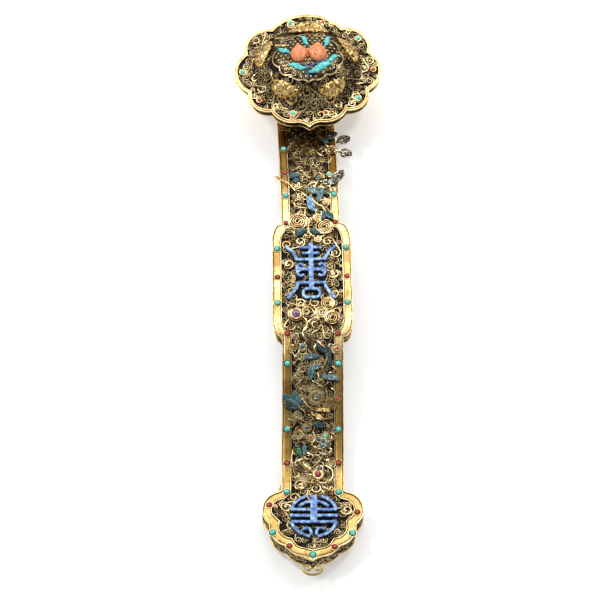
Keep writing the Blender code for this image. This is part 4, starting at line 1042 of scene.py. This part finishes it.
def make_peach_leaves():
    """Turquoise leaves and the blue-grey stem."""
    for name, node, designs in PEACH_LEAVES:
        leaves = []
        for design in designs:
            outline = leaf_outline(*design)
            leaves.append(swell(cut_out([outline], 1.7, 2.6, 0.25), outline, 0.45, 1.2, 2.2))
        keep(join(leaves), to_dome, "inlaid_" + name, LEAF, (node,), 60.0)
    stems = wires([[(x, y, 2.2) for x, y in path] for path in PEACH_STEMS], 0.75, 2)
    keep(stems, to_dome, "peach_stem", STEM, angle=60.0)


# Emblems

STROKE = 2.1
EMBLEM_LOW = 0.2
EMBLEM_HIGH = 1.5
LONG_FOOT = (-0.6, 190.5)
LONG_KNOT = (24.6, 3.6)
LONG_KNOB = (8.6, 2.3)
ROUND_CENTRE = (0.7, 33.2)
ROUND_RADIUS = 16.6
ROUND_PITCH = 4.6
ROUND_UPRIGHT_WIDTH = 4.4
ROUND_BROW = (2.8, 13.8)
ROUND_TOP_GAP = 18.0
ROUND_LOW_GAP = 9.0

# Strokes as (width, path) from the foot of the long emblem's axis and from the middle of the
# round one. Those of the sides stand mirrored as well.
LONG_MIDDLE_STROKES = (
    (3.4, ((0.0, 7.6), (0.0, 46.6))),
    (2.0, ((-7.6, 42.8), (7.6, 42.8))),
    (1.9, ((-6.2, 38.2), (6.2, 38.2))),
    (2.2, ((-9.8, 33.0), (9.8, 33.0))),
    (2.4, ((-8.4, 24.6), (8.4, 24.6))),
    (2.2, ((-9.4, 13.2), (9.4, 13.2))),
)
LONG_SIDE_STROKES = (
    (2.3, ((17.8, 44.2), (12.2, 39.4), (9.6, 32.6))),
    (2.0, ((8.2, 24.2), (9.8, 26.4), (9.0, 28.8), (6.8, 29.2), (5.4, 27.8))),
    (2.0, ((8.2, 25.0), (9.6, 22.4), (8.8, 19.8), (6.6, 19.0), (5.0, 20.4))),
    (2.2, ((9.2, 13.8), (9.9, 9.2), (12.8, 4.6), (16.4, 0.0))),
    (2.1, ((-0.5, 1.1), (3.8, 1.1), (5.6, 2.8), (5.6, 6.4), (3.8, 8.1), (-0.5, 8.1))),
)
ROUND_HOOK = (1.9, ((7.2, -10.6), (5.2, -9.2), (2.8, -9.6), (1.7, -12.0), (1.6, -14.4)))


def ribbon(path, width):
    """The outline of a strip along an open path."""
    points = [Vector(p) for p in path]
    right, left = [], []
    for i, here in enumerate(points):
        way = (points[min(i + 1, len(points) - 1)] - points[max(i - 1, 0)]).normalized()
        across = Vector((way.y, -way.x)) * width / 2
        right.append(tuple(here + across))
        left.append(tuple(here - across))
    return right + left[::-1]


def arc_path(centre, radius, first, last):
    angles = [math.radians(first + (last - first) * i / 14) for i in range(15)]
    return [polar(centre, radius, t) for t in angles]


def stroke_outline(stroke, origin, sign=1):
    """Outline of one stroke from its table, set at origin."""
    width, path = stroke
    return ribbon([(origin[0] + sign * x, origin[1] + y) for x, y in path], width)


def long_strokes():
    """Fret of the wide panel: upright, cross bars, horns, curls, legs and a ring."""
    strokes = [stroke_outline(stroke, LONG_FOOT) for stroke in LONG_MIDDLE_STROKES]
    middle = LONG_FOOT[1] + LONG_KNOT[0]
    strokes.append(disc(LONG_FOOT[0], middle, LONG_KNOT[1], 4))
    for sign in (1, -1):
        strokes.append(disc(LONG_FOOT[0] + sign * LONG_KNOB[0], middle, LONG_KNOB[1]))
        strokes += [stroke_outline(stroke, LONG_FOOT, sign) for stroke in LONG_SIDE_STROKES]
    return strokes


def long_emblem_ground():
    """The space between the strokes of the long emblem, which has no bold scrolls."""
    x, y = LONG_FOOT
    half = ((8.0, 0.0), (13.0, 5.0), (10.0, 14.0), (10.5, 33.0), (13.0, 42.0), (8.0, 45.5))
    return [(x + dx, y + dy) for dx, dy in half] + [(x - dx, y + dy) for dx, dy in half[::-1]]


def round_strokes():
    """Fret of the foot: arcs of a circle, three bars, an upright and two hooks."""
    x, y = ROUND_CENTRE
    radius = ROUND_RADIUS - STROKE / 2
    strokes = [ribbon([(x, y - ROUND_PITCH), (x, y + radius)], ROUND_UPRIGHT_WIDTH)]
    for step in (-1, 0, 1):
        half = math.sqrt(radius ** 2 - (step * ROUND_PITCH) ** 2)
        s = y + step * ROUND_PITCH
        strokes.append(ribbon([(x - half, s), (x + half, s)], STROKE))
    end = math.degrees(math.asin(ROUND_PITCH / radius))
    for first, last in ((end, 90.0 - ROUND_TOP_GAP), (180.0 - end, 90.0 + ROUND_TOP_GAP),
                        (-end, ROUND_LOW_GAP - 90.0), (180.0 + end, 270.0 - ROUND_LOW_GAP)):
        strokes.append(ribbon(arc_path((x, y), radius, first, last), STROKE))
    drop, brow = ROUND_BROW
    strokes.append(ribbon(arc_path((x, y - drop), brow, 45.0, 135.0), STROKE))
    return strokes + [stroke_outline(ROUND_HOOK, (x, y), sign) for sign in (1, -1)]


def make_emblems():
    """Both blue enamel frets, edges softened as fired enamel is."""
    for node, strokes in (("emblem_long", long_strokes()), ("emblem_round", round_strokes())):
        fret = cut_out(strokes, EMBLEM_LOW, EMBLEM_HIGH, 0.3, 4)
        keep(fret, to_shaft, "enamelled_" + node, BLUE, (node,), 60.0)


# Sprays over the filigree, in millimetres on the flat shaft: stems and thinner wires are paths,
# leaves are (tip, base, width, bend, enamel), petals (tip, base, width) in open wire, coils are
# (x, s, radius), and stones (x, s, radius, finish)

SPRAYS = {
    "spray_blossom": {
        "stems": (((-12.2, 328.6), (-4.2, 331.2), (2.2, 326.8), (9.4, 330.4), (14, 325),
             (17.6, 321)), ((9.4, 330.4), (16, 334), (22, 329.5)),
            ((17.6, 320.4), (22.4, 318.6))),
        "wires": (((-8, 337), (-3, 325.5), (4, 333), (8, 325)),
            ((2.2, 326.8), (6, 321), (12, 323), (14, 317)),
            ((13, 318), (16.5, 313), (15, 308)), ((-14, 323), (-11, 331.5), (-7.5, 326.5))),
        "leaves": (((22.8, 336.4), (11.6, 331.4), 6, 0.6, DARK_TEAL),
            ((15.4, 326.2), (8.4, 334.6), 4, 0.5, DARK_TEAL)),
        "petals": (((31, 332.4), (21, 327.2), 8), ((31.4, 314.4), (21.6, 319.4), 8)),
        "coils": ((17.6, 320.6, 3.6),),
        "stones": ((17.6, 320.6, 2.3, SMOKE), (24.9, 329.2, 1, PEARL), (25.6, 317.3, 1, PEARL)),
    },
    "spray_wings": {
        "stems": (((-23, 295), (-19.8, 292.4), (-14, 288), (-10.6, 282.8)),
            ((1, 281), (6, 289.5), (10.8, 297.4)),
            ((-10.6, 282.8), (-4, 285.5), (1, 281), (8, 284.5), (14.6, 285.8))),
        "wires": (((-11.4, 292.6), (-8.2, 289.6), (-7, 286), (-10.2, 285), (-12.5, 288)),
            ((-10.8, 283.2), (-8, 277.5), (-5.6, 272.2)),
            ((-10.8, 283.2), (-6.5, 281.5), (-3.4, 277.4), (-6.5, 275.6)),
            ((14.6, 285.8), (17, 281.8), (19.8, 284.5), (18.5, 288.5)),
            ((-14, 300.5), (-9, 298), (-5, 301), (-2, 296)),
            ((-6, 299), (0, 294), (5.5, 297.5), (9.5, 303))),
        "leaves": (((-14.4, 295.4), (-6.4, 297.2), 4.8, 0.5, TEAL),
            ((-11.8, 290.4), (-5.8, 292.6), 3.8, 0.4, TEAL),
            ((4.8, 290.8), (9.4, 295.8), 3.2, 0.2, PALE_TEAL)),
        "petals": (((24.8, 299.6), (15, 286.6), 6.8),),
        "coils": ((-22.6, 294.8, 1.6), (-9.4, 288.6, 2.2)),
        "stones": ((14.6, 296.2, 1.8, TURQUOISE), (11.8, 289.2, 1.6, LAPIS),
            (17.2, 289.4, 1.8, LAPIS), (16.4, 282, 1.3, CORAL), (9.4, 294.6, 1.2, CORAL)),
    },
    "leaf_cluster": {
        "stems": (((3, 284), (1, 277), (4, 270), (9, 266.5), (12, 259)),),
        "wires": (((4, 270), (8.5, 273.5), (13, 270), (10.5, 266)),
            ((-2.6, 277.6), (-7.5, 279), (-9, 274)), ((10.6, 282), (14.5, 277), (12, 273))),
        "leaves": (((-2.8, 284), (13.4, 278.2), 5.6, 0.9, PALE_TEAL),
            ((3.6, 262.4), (-2.8, 278), 5.6, -0.8, SKY),
            ((10.8, 282), (3.2, 271.4), 4.6, 0.5, PALE_TEAL),
            ((15.2, 255.4), (9, 266), 5.4, 0.6, TEAL),
            ((8.6, 255.8), (11, 264.6), 3.6, -0.5, PALE_TEAL)),
        "coils": ((5.2, 258.2, 2.6), (11.5, 272, 2)),
    },
    "leaf_pair": {
        "stems": (((-3.4, 267), (-3.8, 260.2), (-1.2, 255), (-2, 247.4), (0.6, 243.2),
             (5.4, 242.6)),),
        "wires": (((-3.8, 260.2), (-7, 263.5), (-9.5, 261)), ((-1.2, 255), (2, 259), (1, 263))),
        "leaves": (((-11.4, 244.4), (-2.4, 248.4), 4.8, 0.5, TEAL),
            ((6.4, 244.4), (-1.4, 248.2), 4.6, -0.5, TEAL)),
        "coils": ((-9, 255.6, 6), (9.4, 250.8, 5.4), (4.6, 240.6, 1.9)),
    },
    "flower_amethyst": {
        "stems": (((-7.4, 177), (-3.6, 171.6), (-7, 163.8), (-4.6, 158.6)),
            ((-3.4, 172), (1.5, 175.5), (6, 171), (3, 166.5))),
        "wires": (((-18.4, 182), (-14.5, 186.4), (-9, 184.4), (-5, 187.5)),
            ((-16, 174.6), (-19, 169.6), (-14.5, 166.4), (-11, 170)),
            ((-5, 182), (0.5, 184.5), (2.5, 179), (-1.5, 176.5)),
            ((3, 166.5), (-1, 163), (1, 158.5)), ((6.4, 170), (7.4, 162), (6.4, 156.4)),
            ((12.2, 170), (13.4, 165), (12.6, 160.6))),
        "coils": ((-11.3, 178.4, 4.4), (6, 180, 3.6), (13, 176, 4.4), (10.5, 187, 4)),
        "stones": ((-11.3, 178.4, 2.9, AMETHYST),),
    },
    "spray_lower": {
        "stems": (((-3.2, 169.6), (-7, 163.8), (-4.6, 158.6), (-6.8, 155)),
            ((3.4, 158.2), (1, 152.4), (3, 148.8)),
            ((3.4, 158.2), (8, 152.5), (9.5, 146), (7, 139.5), (3.4, 134))),
        "wires": (((3, 135.8), (4, 132.2), (1.4, 129), (-1, 131)),
            ((-14.2, 150.5), (-11.5, 147), (-9.5, 150.5), (-6.8, 154)),
            ((-13, 142), (-9, 145.5), (-7, 141), (-10.5, 137)),
            ((-12, 134), (-8, 130), (-11.5, 126), (-6, 124)),
            ((2, 129), (7, 126.5), (11.5, 129), (14, 125)),
            ((12.6, 140.8), (15, 137.5), (11, 135.5))),
        "leaves": (((-6.8, 147), (5.6, 147), 3.6, 0.3, PALE_TEAL),
            ((2.2, 157), (10.8, 146.6), 4.2, 0.7, DARK_TEAL),
            ((8.2, 155), (13, 138.8), 4.8, -0.7, DARK_TEAL),
            ((-2.4, 131), (0.8, 141.4), 5.4, 0.6, TEAL),
            ((5.6, 139.8), (-3.8, 138), 4.4, 0.5, PALE_TEAL),
            ((18, 129.6), (4.8, 135.2), 4.6, 0.9, PALE_TEAL)),
        "coils": ((-14.2, 152.8, 2.4), (16, 152.6, 3), (-9.5, 133, 2.6)),
        "stones": ((-6.8, 154, 2, PALE_TEAL), (16, 152.6, 1.2, CORAL)),
    },
    "flower_ringed": {
        "stems": (((-7, 117.6), (-3.2, 112.6), (1.2, 109.8), (6.2, 109.2), (11.2, 111.4)),
            ((1.8, 104.6), (6.8, 103.4), (12.4, 105))),
        "wires": (((8.6, 109), (11, 107.6), (12.8, 104.6)),
            ((-6, 126.5), (-1, 124.6), (4, 126.4), (9, 123), (9.4, 117)),
            ((-4.6, 122), (-7.6, 124.4), (-10.4, 121.6)),
            ((-3, 107), (0, 104), (-4, 101.5), (-8, 104.5)),
            ((13, 118), (15, 122), (12, 125.5))),
        "leaves": (((7, 103), (-2.4, 109.8), 3, 0.6, FOLD_SHADED_RELIEF),
            ((12, 108.4), (1, 111.6), 2.6, 0.5, FOLD_SHADED_RELIEF)),
        "petals": (((-8.8, 118.4), (-3.2, 118.4), 3.2), ((-5.4, 126), (-0.8, 121.8), 3.2)),
        "coils": ((2.4, 118.6, 4.7), (11, 115.6, 2.2), (13.2, 112.6, 1.7), (9.2, 112.4, 1.7)),
        "stones": ((2.4, 118.6, 3, SMOKE), (16.4, 117.6, 1.4, CORAL)),
    },
    "leaf_border": {
        "stems": (((-8, 111), (-12, 115), (-17, 118.6)),),
        "wires": (((-8, 111), (-5, 107.5), (-8, 104), (-12.5, 106.5)),
            ((-16.5, 104), (-12, 102), (-14, 98), (-18, 99.5))),
        "leaves": (((-20, 121.4), (-8, 111), 5.2, 0.8, TEAL),
            ((-20, 112.6), (-8.6, 111.8), 4.6, -0.6, DARK_TEAL),
            ((-13.4, 123), (-7.6, 113), 4.4, 0.5, TEAL)),
        "coils": ((-10.5, 106, 2.6),),
    },
    "flower_five_petals": {
        "stems": (((11.2, 94.8), (14.4, 92.6), (16, 88.6)),
            ((9, 87.6), (12.2, 89.4), (12.4, 93)),
            ((0, 95), (1.6, 90.4), (-0.6, 86), (2.8, 83.2), (6.2, 82), (6.2, 77.2),
             (1.2, 71.2))),
        "wires": (((-4, 101.6), (1, 98.5), (0, 94), (4, 93)),
            ((-9, 97), (-6, 92.5), (-9.5, 89), (-5, 87)),
            ((-13, 93), (-10.5, 97.5), (-7.5, 94)), ((9, 98.5), (13, 100.5), (15, 97)),
            ((4, 81), (9, 79), (12.5, 82.5), (10, 84))),
        "leaves": (((-0.8, 101.6), (9.6, 97.4), 4.4, 0.5, DARK_TEAL),),
        "coils": ((8.4, 92, 2.3), (-4, 98, 2.6), (-1.6, 90.5, 2), (-9.6, 93, 2.4)),
        "stones": ((8.4, 92, 1.5, TURQUOISE), (3.8, 89.6, 1.5, LAPIS), (7, 88.4, 1.5, LAPIS),
            (10, 86.6, 1.5, LAPIS), (6, 85.2, 1.5, LAPIS), (14.4, 96, 1.3, LAPIS),
            (-4, 98, 1.6, SMOKE)),
    },
    "flower_ruby": {
        "stems": (((-10.6, 73.6), (-6, 76.2)), ((-7.2, 75), (-4.8, 70.6), (-1, 67.2)),
            ((8, 71.4), (12.6, 67.6), (12.6, 61.4), (8, 58), (3, 59))),
        "wires": (((-13.2, 82.6), (-14, 76), (-13, 68.4), (-11, 61.6)),
            ((4.6, 57.8), (8, 54.4), (12, 53)), ((9, 75), (13.5, 76.5), (12, 71.5)),
            ((-12, 58), (-8, 54), (-4, 56)), ((-4, 80.5), (0, 78), (-2, 74))),
        "leaves": (((-9.8, 85.2), (-8.2, 76.2), 3.2, 0.3, GREEN),
            ((-5, 86), (-6.2, 78.2), 3.2, 0.3, PALE_TEAL)),
        "petals": (((-12.6, 71.6), (-2.2, 66.6), 4.8), ((-12, 60), (-2.2, 65), 5),
            ((-6.8, 55), (-1.2, 63.2), 4.6), ((-8.4, 75.4), (-1.4, 67.8), 4),
            ((1.8, 55.4), (2.2, 62.4), 4)),
        "coils": ((3.4, 64.4, 3.4), (12.4, 72.5, 2.2)),
        "stones": ((3.4, 64.4, 2.3, RUBY), (4.6, 68.8, 1.9, SMOKE)),
    },
}
LEAF_RISE = 1.2
STEM_WIRE = 0.46
THIN_WIRE = 0.3
OPEN_PETAL_WIRE = 0.45
BIG_STONE = 2.2


def curved(path, low, arch):
    """A smooth line through a flat path, that starts and ends at low and arches in between."""
    points = [path[0]] + list(path) + [path[-1]]
    flat = []
    for a, b, c, d in zip(points, points[1:], points[2:], points[3:]):
        for i in range(6):
            t = i / 6
            flat.append([0.5 * (2 * q + (r - p) * t + (2 * p - 5 * q + 4 * r - s) * t * t
                                + (3 * q - p - 3 * r + s) * t ** 3)
                         for p, q, r, s in zip(a, b, c, d)])
    flat.append(list(path[-1]))
    last = len(flat) - 1
    return [(x, s, low + arch * math.sin(math.pi * i / last)) for i, (x, s) in enumerate(flat)]


def spray_leaf(tip, base, width, bend):
    """An enamel leaf with a midrib and slanting veins, its tip raised off the filigree."""
    outline = leaf_outline(tip, base, width, bend)
    leaf = swell(cut_out([outline], 0.5, 1.4, 0.26), outline, 0.5, 1.3, 1.0)
    a, b = Vector(tip), Vector(base)
    way = (a - b).normalized()
    length = (a - b).length
    for vertex in leaf.data.vertices:
        from_base = Vector(vertex.co.xy) - b
        along = from_base.dot(way)
        across = from_base.cross(way)
        if vertex.co.z > 1.1:
            vertex.co.z -= 0.5 * math.exp(-(across / 0.3) ** 2)
            vertex.co.z += 0.2 * math.sin((along + abs(across)) * 4.0)
        vertex.co.z += LEAF_RISE * (max(along, 0.0) / length) ** 1.5 + 0.12 * across
    return leaf


def wire_petal(tip, base, width, height):
    """Paths of one open petal: nested outlines and ribs fanned from its base."""
    a, b = Vector(tip), Vector(base)
    paths = []
    for share in (1.0, 0.6):
        end = b + (a - b) * (0.35 + 0.65 * share)
        rim = [(x, s, height) for x, s in leaf_outline(end, b, width * share)]
        paths.append(rim + rim[:1])
    side = Vector((a.y - b.y, b.x - a.x)).normalized() * width * 0.3
    for push in (-1, 0, 1):
        paths.append([(*b, height), (*(b + (a - b) * 0.85 + side * push), height)])
    return paths


def bands(x, s, radius):
    """Three wires over a domed stone, side by side."""
    paths = []
    for shift in (-0.5, 0.0, 0.5):
        reach = radius * math.sqrt(1 - shift ** 2)
        angles = [math.pi * i / 8 for i in range(9)]
        paths.append([(x + reach * math.cos(t), s + shift * radius + 0.3 * math.sin(t),
                       0.95 + reach * math.sin(t)) for t in angles])
    return paths


def spray_wires(name, design):
    """Arching stems, thinner wires, coils, and the rings and granules round the stones."""
    thick = [curved(path, 0.6, 1.4) for path in design["stems"]]
    thin = [curved(path, 0.5, 0.9) for path in design["wires"]]
    for x, s, radius in design["coils"]:
        turns = 1.5 + radius / 4
        thin.append(scroll((x, s), radius, radius * 3.0, 1, 0.9, turns, int(12 * turns)))
        thin.append(ring(radius + 0.5, x, s, 0.8, 24))
    granules = [(*path[-1][:2], 0.9) for path in design["wires"]]
    for x, s, radius, finish in design.get("stones", ()):
        thin.append(ring(radius + 0.25, x, s, 1.4))
        if radius > BIG_STONE:
            thick.append(ring(radius + 0.8, x, s, 1.7, 20))
            granules += [(*place, 1.7) for place in disc(x, s, radius + 1.5, int(radius * 8))]
            if finish == SMOKE:
                thin += bands(x, s, radius)
        granules += [(*place, 1.2) for place in disc(x, s, radius + 0.9, int(radius * 6))]
    pieces = [wires(thick, STEM_WIRE), wires(thin, THIN_WIRE), beads(granules, 0.45)]
    keep(join(pieces), to_shaft, name + "_wires", BRIGHT_WIRE, (name,))


def spray_petals(name, petals):
    """Open wire petals. Those that stand out beyond the shaft are silvered, with a dark back
    and a row of seed pearls."""
    outer = abs(petals[0][0][0]) > SHAFT_WIDTH / 2
    lines = [path for petal in petals for path in wire_petal(*petal, 1.5)]
    keep(wires(lines, OPEN_PETAL_WIRE if outer else 0.19), to_shaft, name + "_petals",
         SILVERY if outer else WIRE, (name,))
    if not outer:
        return
    backs, seeds = [], []
    for tip, base, width in petals:
        backs.append(cut_out([leaf_outline(tip, base, width * 0.9)], 0.7, 1.2, 0.3))
        a, b = Vector(tip), Vector(base)
        seeds += [(*(b + (a - b) * share), 1.9) for share in (0.25, 0.45, 0.65, 0.85)]
    keep(join(backs), to_shaft, name + "_petal_backs", TARNISH_AND_SHADE)
    keep(beads(seeds, 0.6), to_shaft, name + "_seeds", PEARL)


def make_sprays():
    """Each spray: its wires and petals, enamel leaves by colour, and stones."""
    for name, design in SPRAYS.items():
        spray_wires(name, design)
        if "petals" in design:
            spray_petals(name, design["petals"])
        designs = design.get("leaves", ())
        for finish in dict.fromkeys(leaf[4] for leaf in designs):
            leaves = [spray_leaf(*leaf[:4]) for leaf in designs if leaf[4] == finish]
            keep(join(leaves), to_shaft, f"{name}_{finish.name}", finish, (name,), 60.0)
        for number, (x, s, radius, finish) in enumerate(design.get("stones", ()), 1):
            keep(ball(radius, 0.95, x, s, 0.9), to_shaft, f"{name}_stone_{number}", finish,
                 angle=80.0)


# Loop

LOOP_WIRE = 0.75
LOOP_WIDTH = 13.6
LOOP_LENGTH = 9.6
LOOP_LEVEL = -2.8


def make_loop():
    """The foot's loop of round wire, with its two curls."""
    half_width = LOOP_WIDTH / 2 - LOOP_WIRE
    half_length = LOOP_LENGTH / 2 - LOOP_WIRE
    half = []
    for i in range(17):
        t = math.radians(-90.0 + 130.0 * i / 16)
        half.append((half_width * math.cos(t), half_length * math.sin(t)))
    eye = (half_width * 0.54, half_length * 0.12)
    reach = math.dist(half[-1], eye)
    first = math.atan2(half[-1][1] - eye[1], half[-1][0] - eye[0])
    half += [polar(eye, reach * (1 - 0.0283 * i), first + math.radians(12.0 * i))
             for i in range(1, 22)]
    path = [(-x, y) for x, y in reversed(half[1:])] + half
    shift = LOOP_WIRE - LOOP_LENGTH / 2
    loop = wires([[(x, y + shift, LOOP_LEVEL) for x, y in path]], LOOP_WIRE, 2)
    keep(loop, to_shaft, "loop_with_curls", GILT, nodes=("foot_loop",), angle=60.0)


# Setting

CAMERA_ELEVATION = 59.05
CAMERA_DISTANCE = 1.501
CAMERA_FOCAL_PIXELS = 2201.0
FRAME_PIXELS = 600.0
SENSOR_WIDTH = 36.0
TARGET_PIXEL = (312.83, 281.87)


def make_camera():
    """Looks down along the sceptre from in front of the foot, as the photograph does."""
    tip = along_spine(SPINE, [(0, 0, 0)])[0] * MM
    target = Vector(tip) + Vector((0.0, 0.200, 0.015))
    rise = math.radians(CAMERA_ELEVATION)
    back = Vector((0.0, -math.cos(rise), math.sin(rise)))
    made = bpy.data.cameras.new("camera")
    made.sensor_width = SENSOR_WIDTH
    made.lens = SENSOR_WIDTH * CAMERA_FOCAL_PIXELS / FRAME_PIXELS
    made.shift_x = 0.5 - TARGET_PIXEL[0] / FRAME_PIXELS
    made.shift_y = TARGET_PIXEL[1] / FRAME_PIXELS - 0.5
    made.clip_start = 0.05
    made.clip_end = 20.0
    camera = link(made)
    camera.location = target + back * CAMERA_DISTANCE
    camera.rotation_euler = (math.pi / 2 - rise, 0.0, 0.0)
    bpy.context.scene.camera = camera


def add_light(name, place, size, power):
    """A square lamp aimed at the middle of the sceptre."""
    made = bpy.data.lights.new(name, "AREA")
    made.size = size
    made.energy = power
    lamp = link(made)
    lamp.name = name
    lamp.location = place
    lamp.rotation_euler = (-Vector(place)).to_track_quat("-Z", "Y").to_euler()


def make_setting():
    """Lit white paper, a large soft light high behind the head and two weaker ones."""
    bpy.ops.mesh.primitive_plane_add(size=8.0, location=(0, 0, 0))
    floor = bpy.context.view_layer.objects.active
    floor.name = "floor"
    made = new_finish("lit_white_paper", Base_Color=colour("F4F4F2"), Roughness=0.9,
                      Emission_Color=colour("FFFFFF"), Emission_Strength=0.33)[0]
    floor.data.materials.append(made)
    add_light("softbox", (0.0, 0.95, 1.25), 0.9, 6.5)
    add_light("left", (-0.8, 0.35, 1.2), 0.3, 8.0)
    add_light("right", (0.7, 0.75, 1.25), 0.25, 7.0)
    world = bpy.data.worlds.new("room")
    world.use_nodes = True
    shade = world.node_tree.nodes["Background"].inputs
    shade["Color"].default_value = colour("FFFFFF")
    shade["Strength"].default_value = 0.4
    bpy.context.scene.world = world
    bpy.context.scene.view_settings.view_transform = "Standard"


make_camera()
make_setting()
make_shaft()
make_field_scrolls()
make_border_wires()
make_wall_scrolls()
make_back()
make_stones()
make_head_plate()
make_head_wires()
make_medallion()
make_bats()
make_peaches()
make_peach_leaves()
make_emblems()
make_sprays()
make_loop()
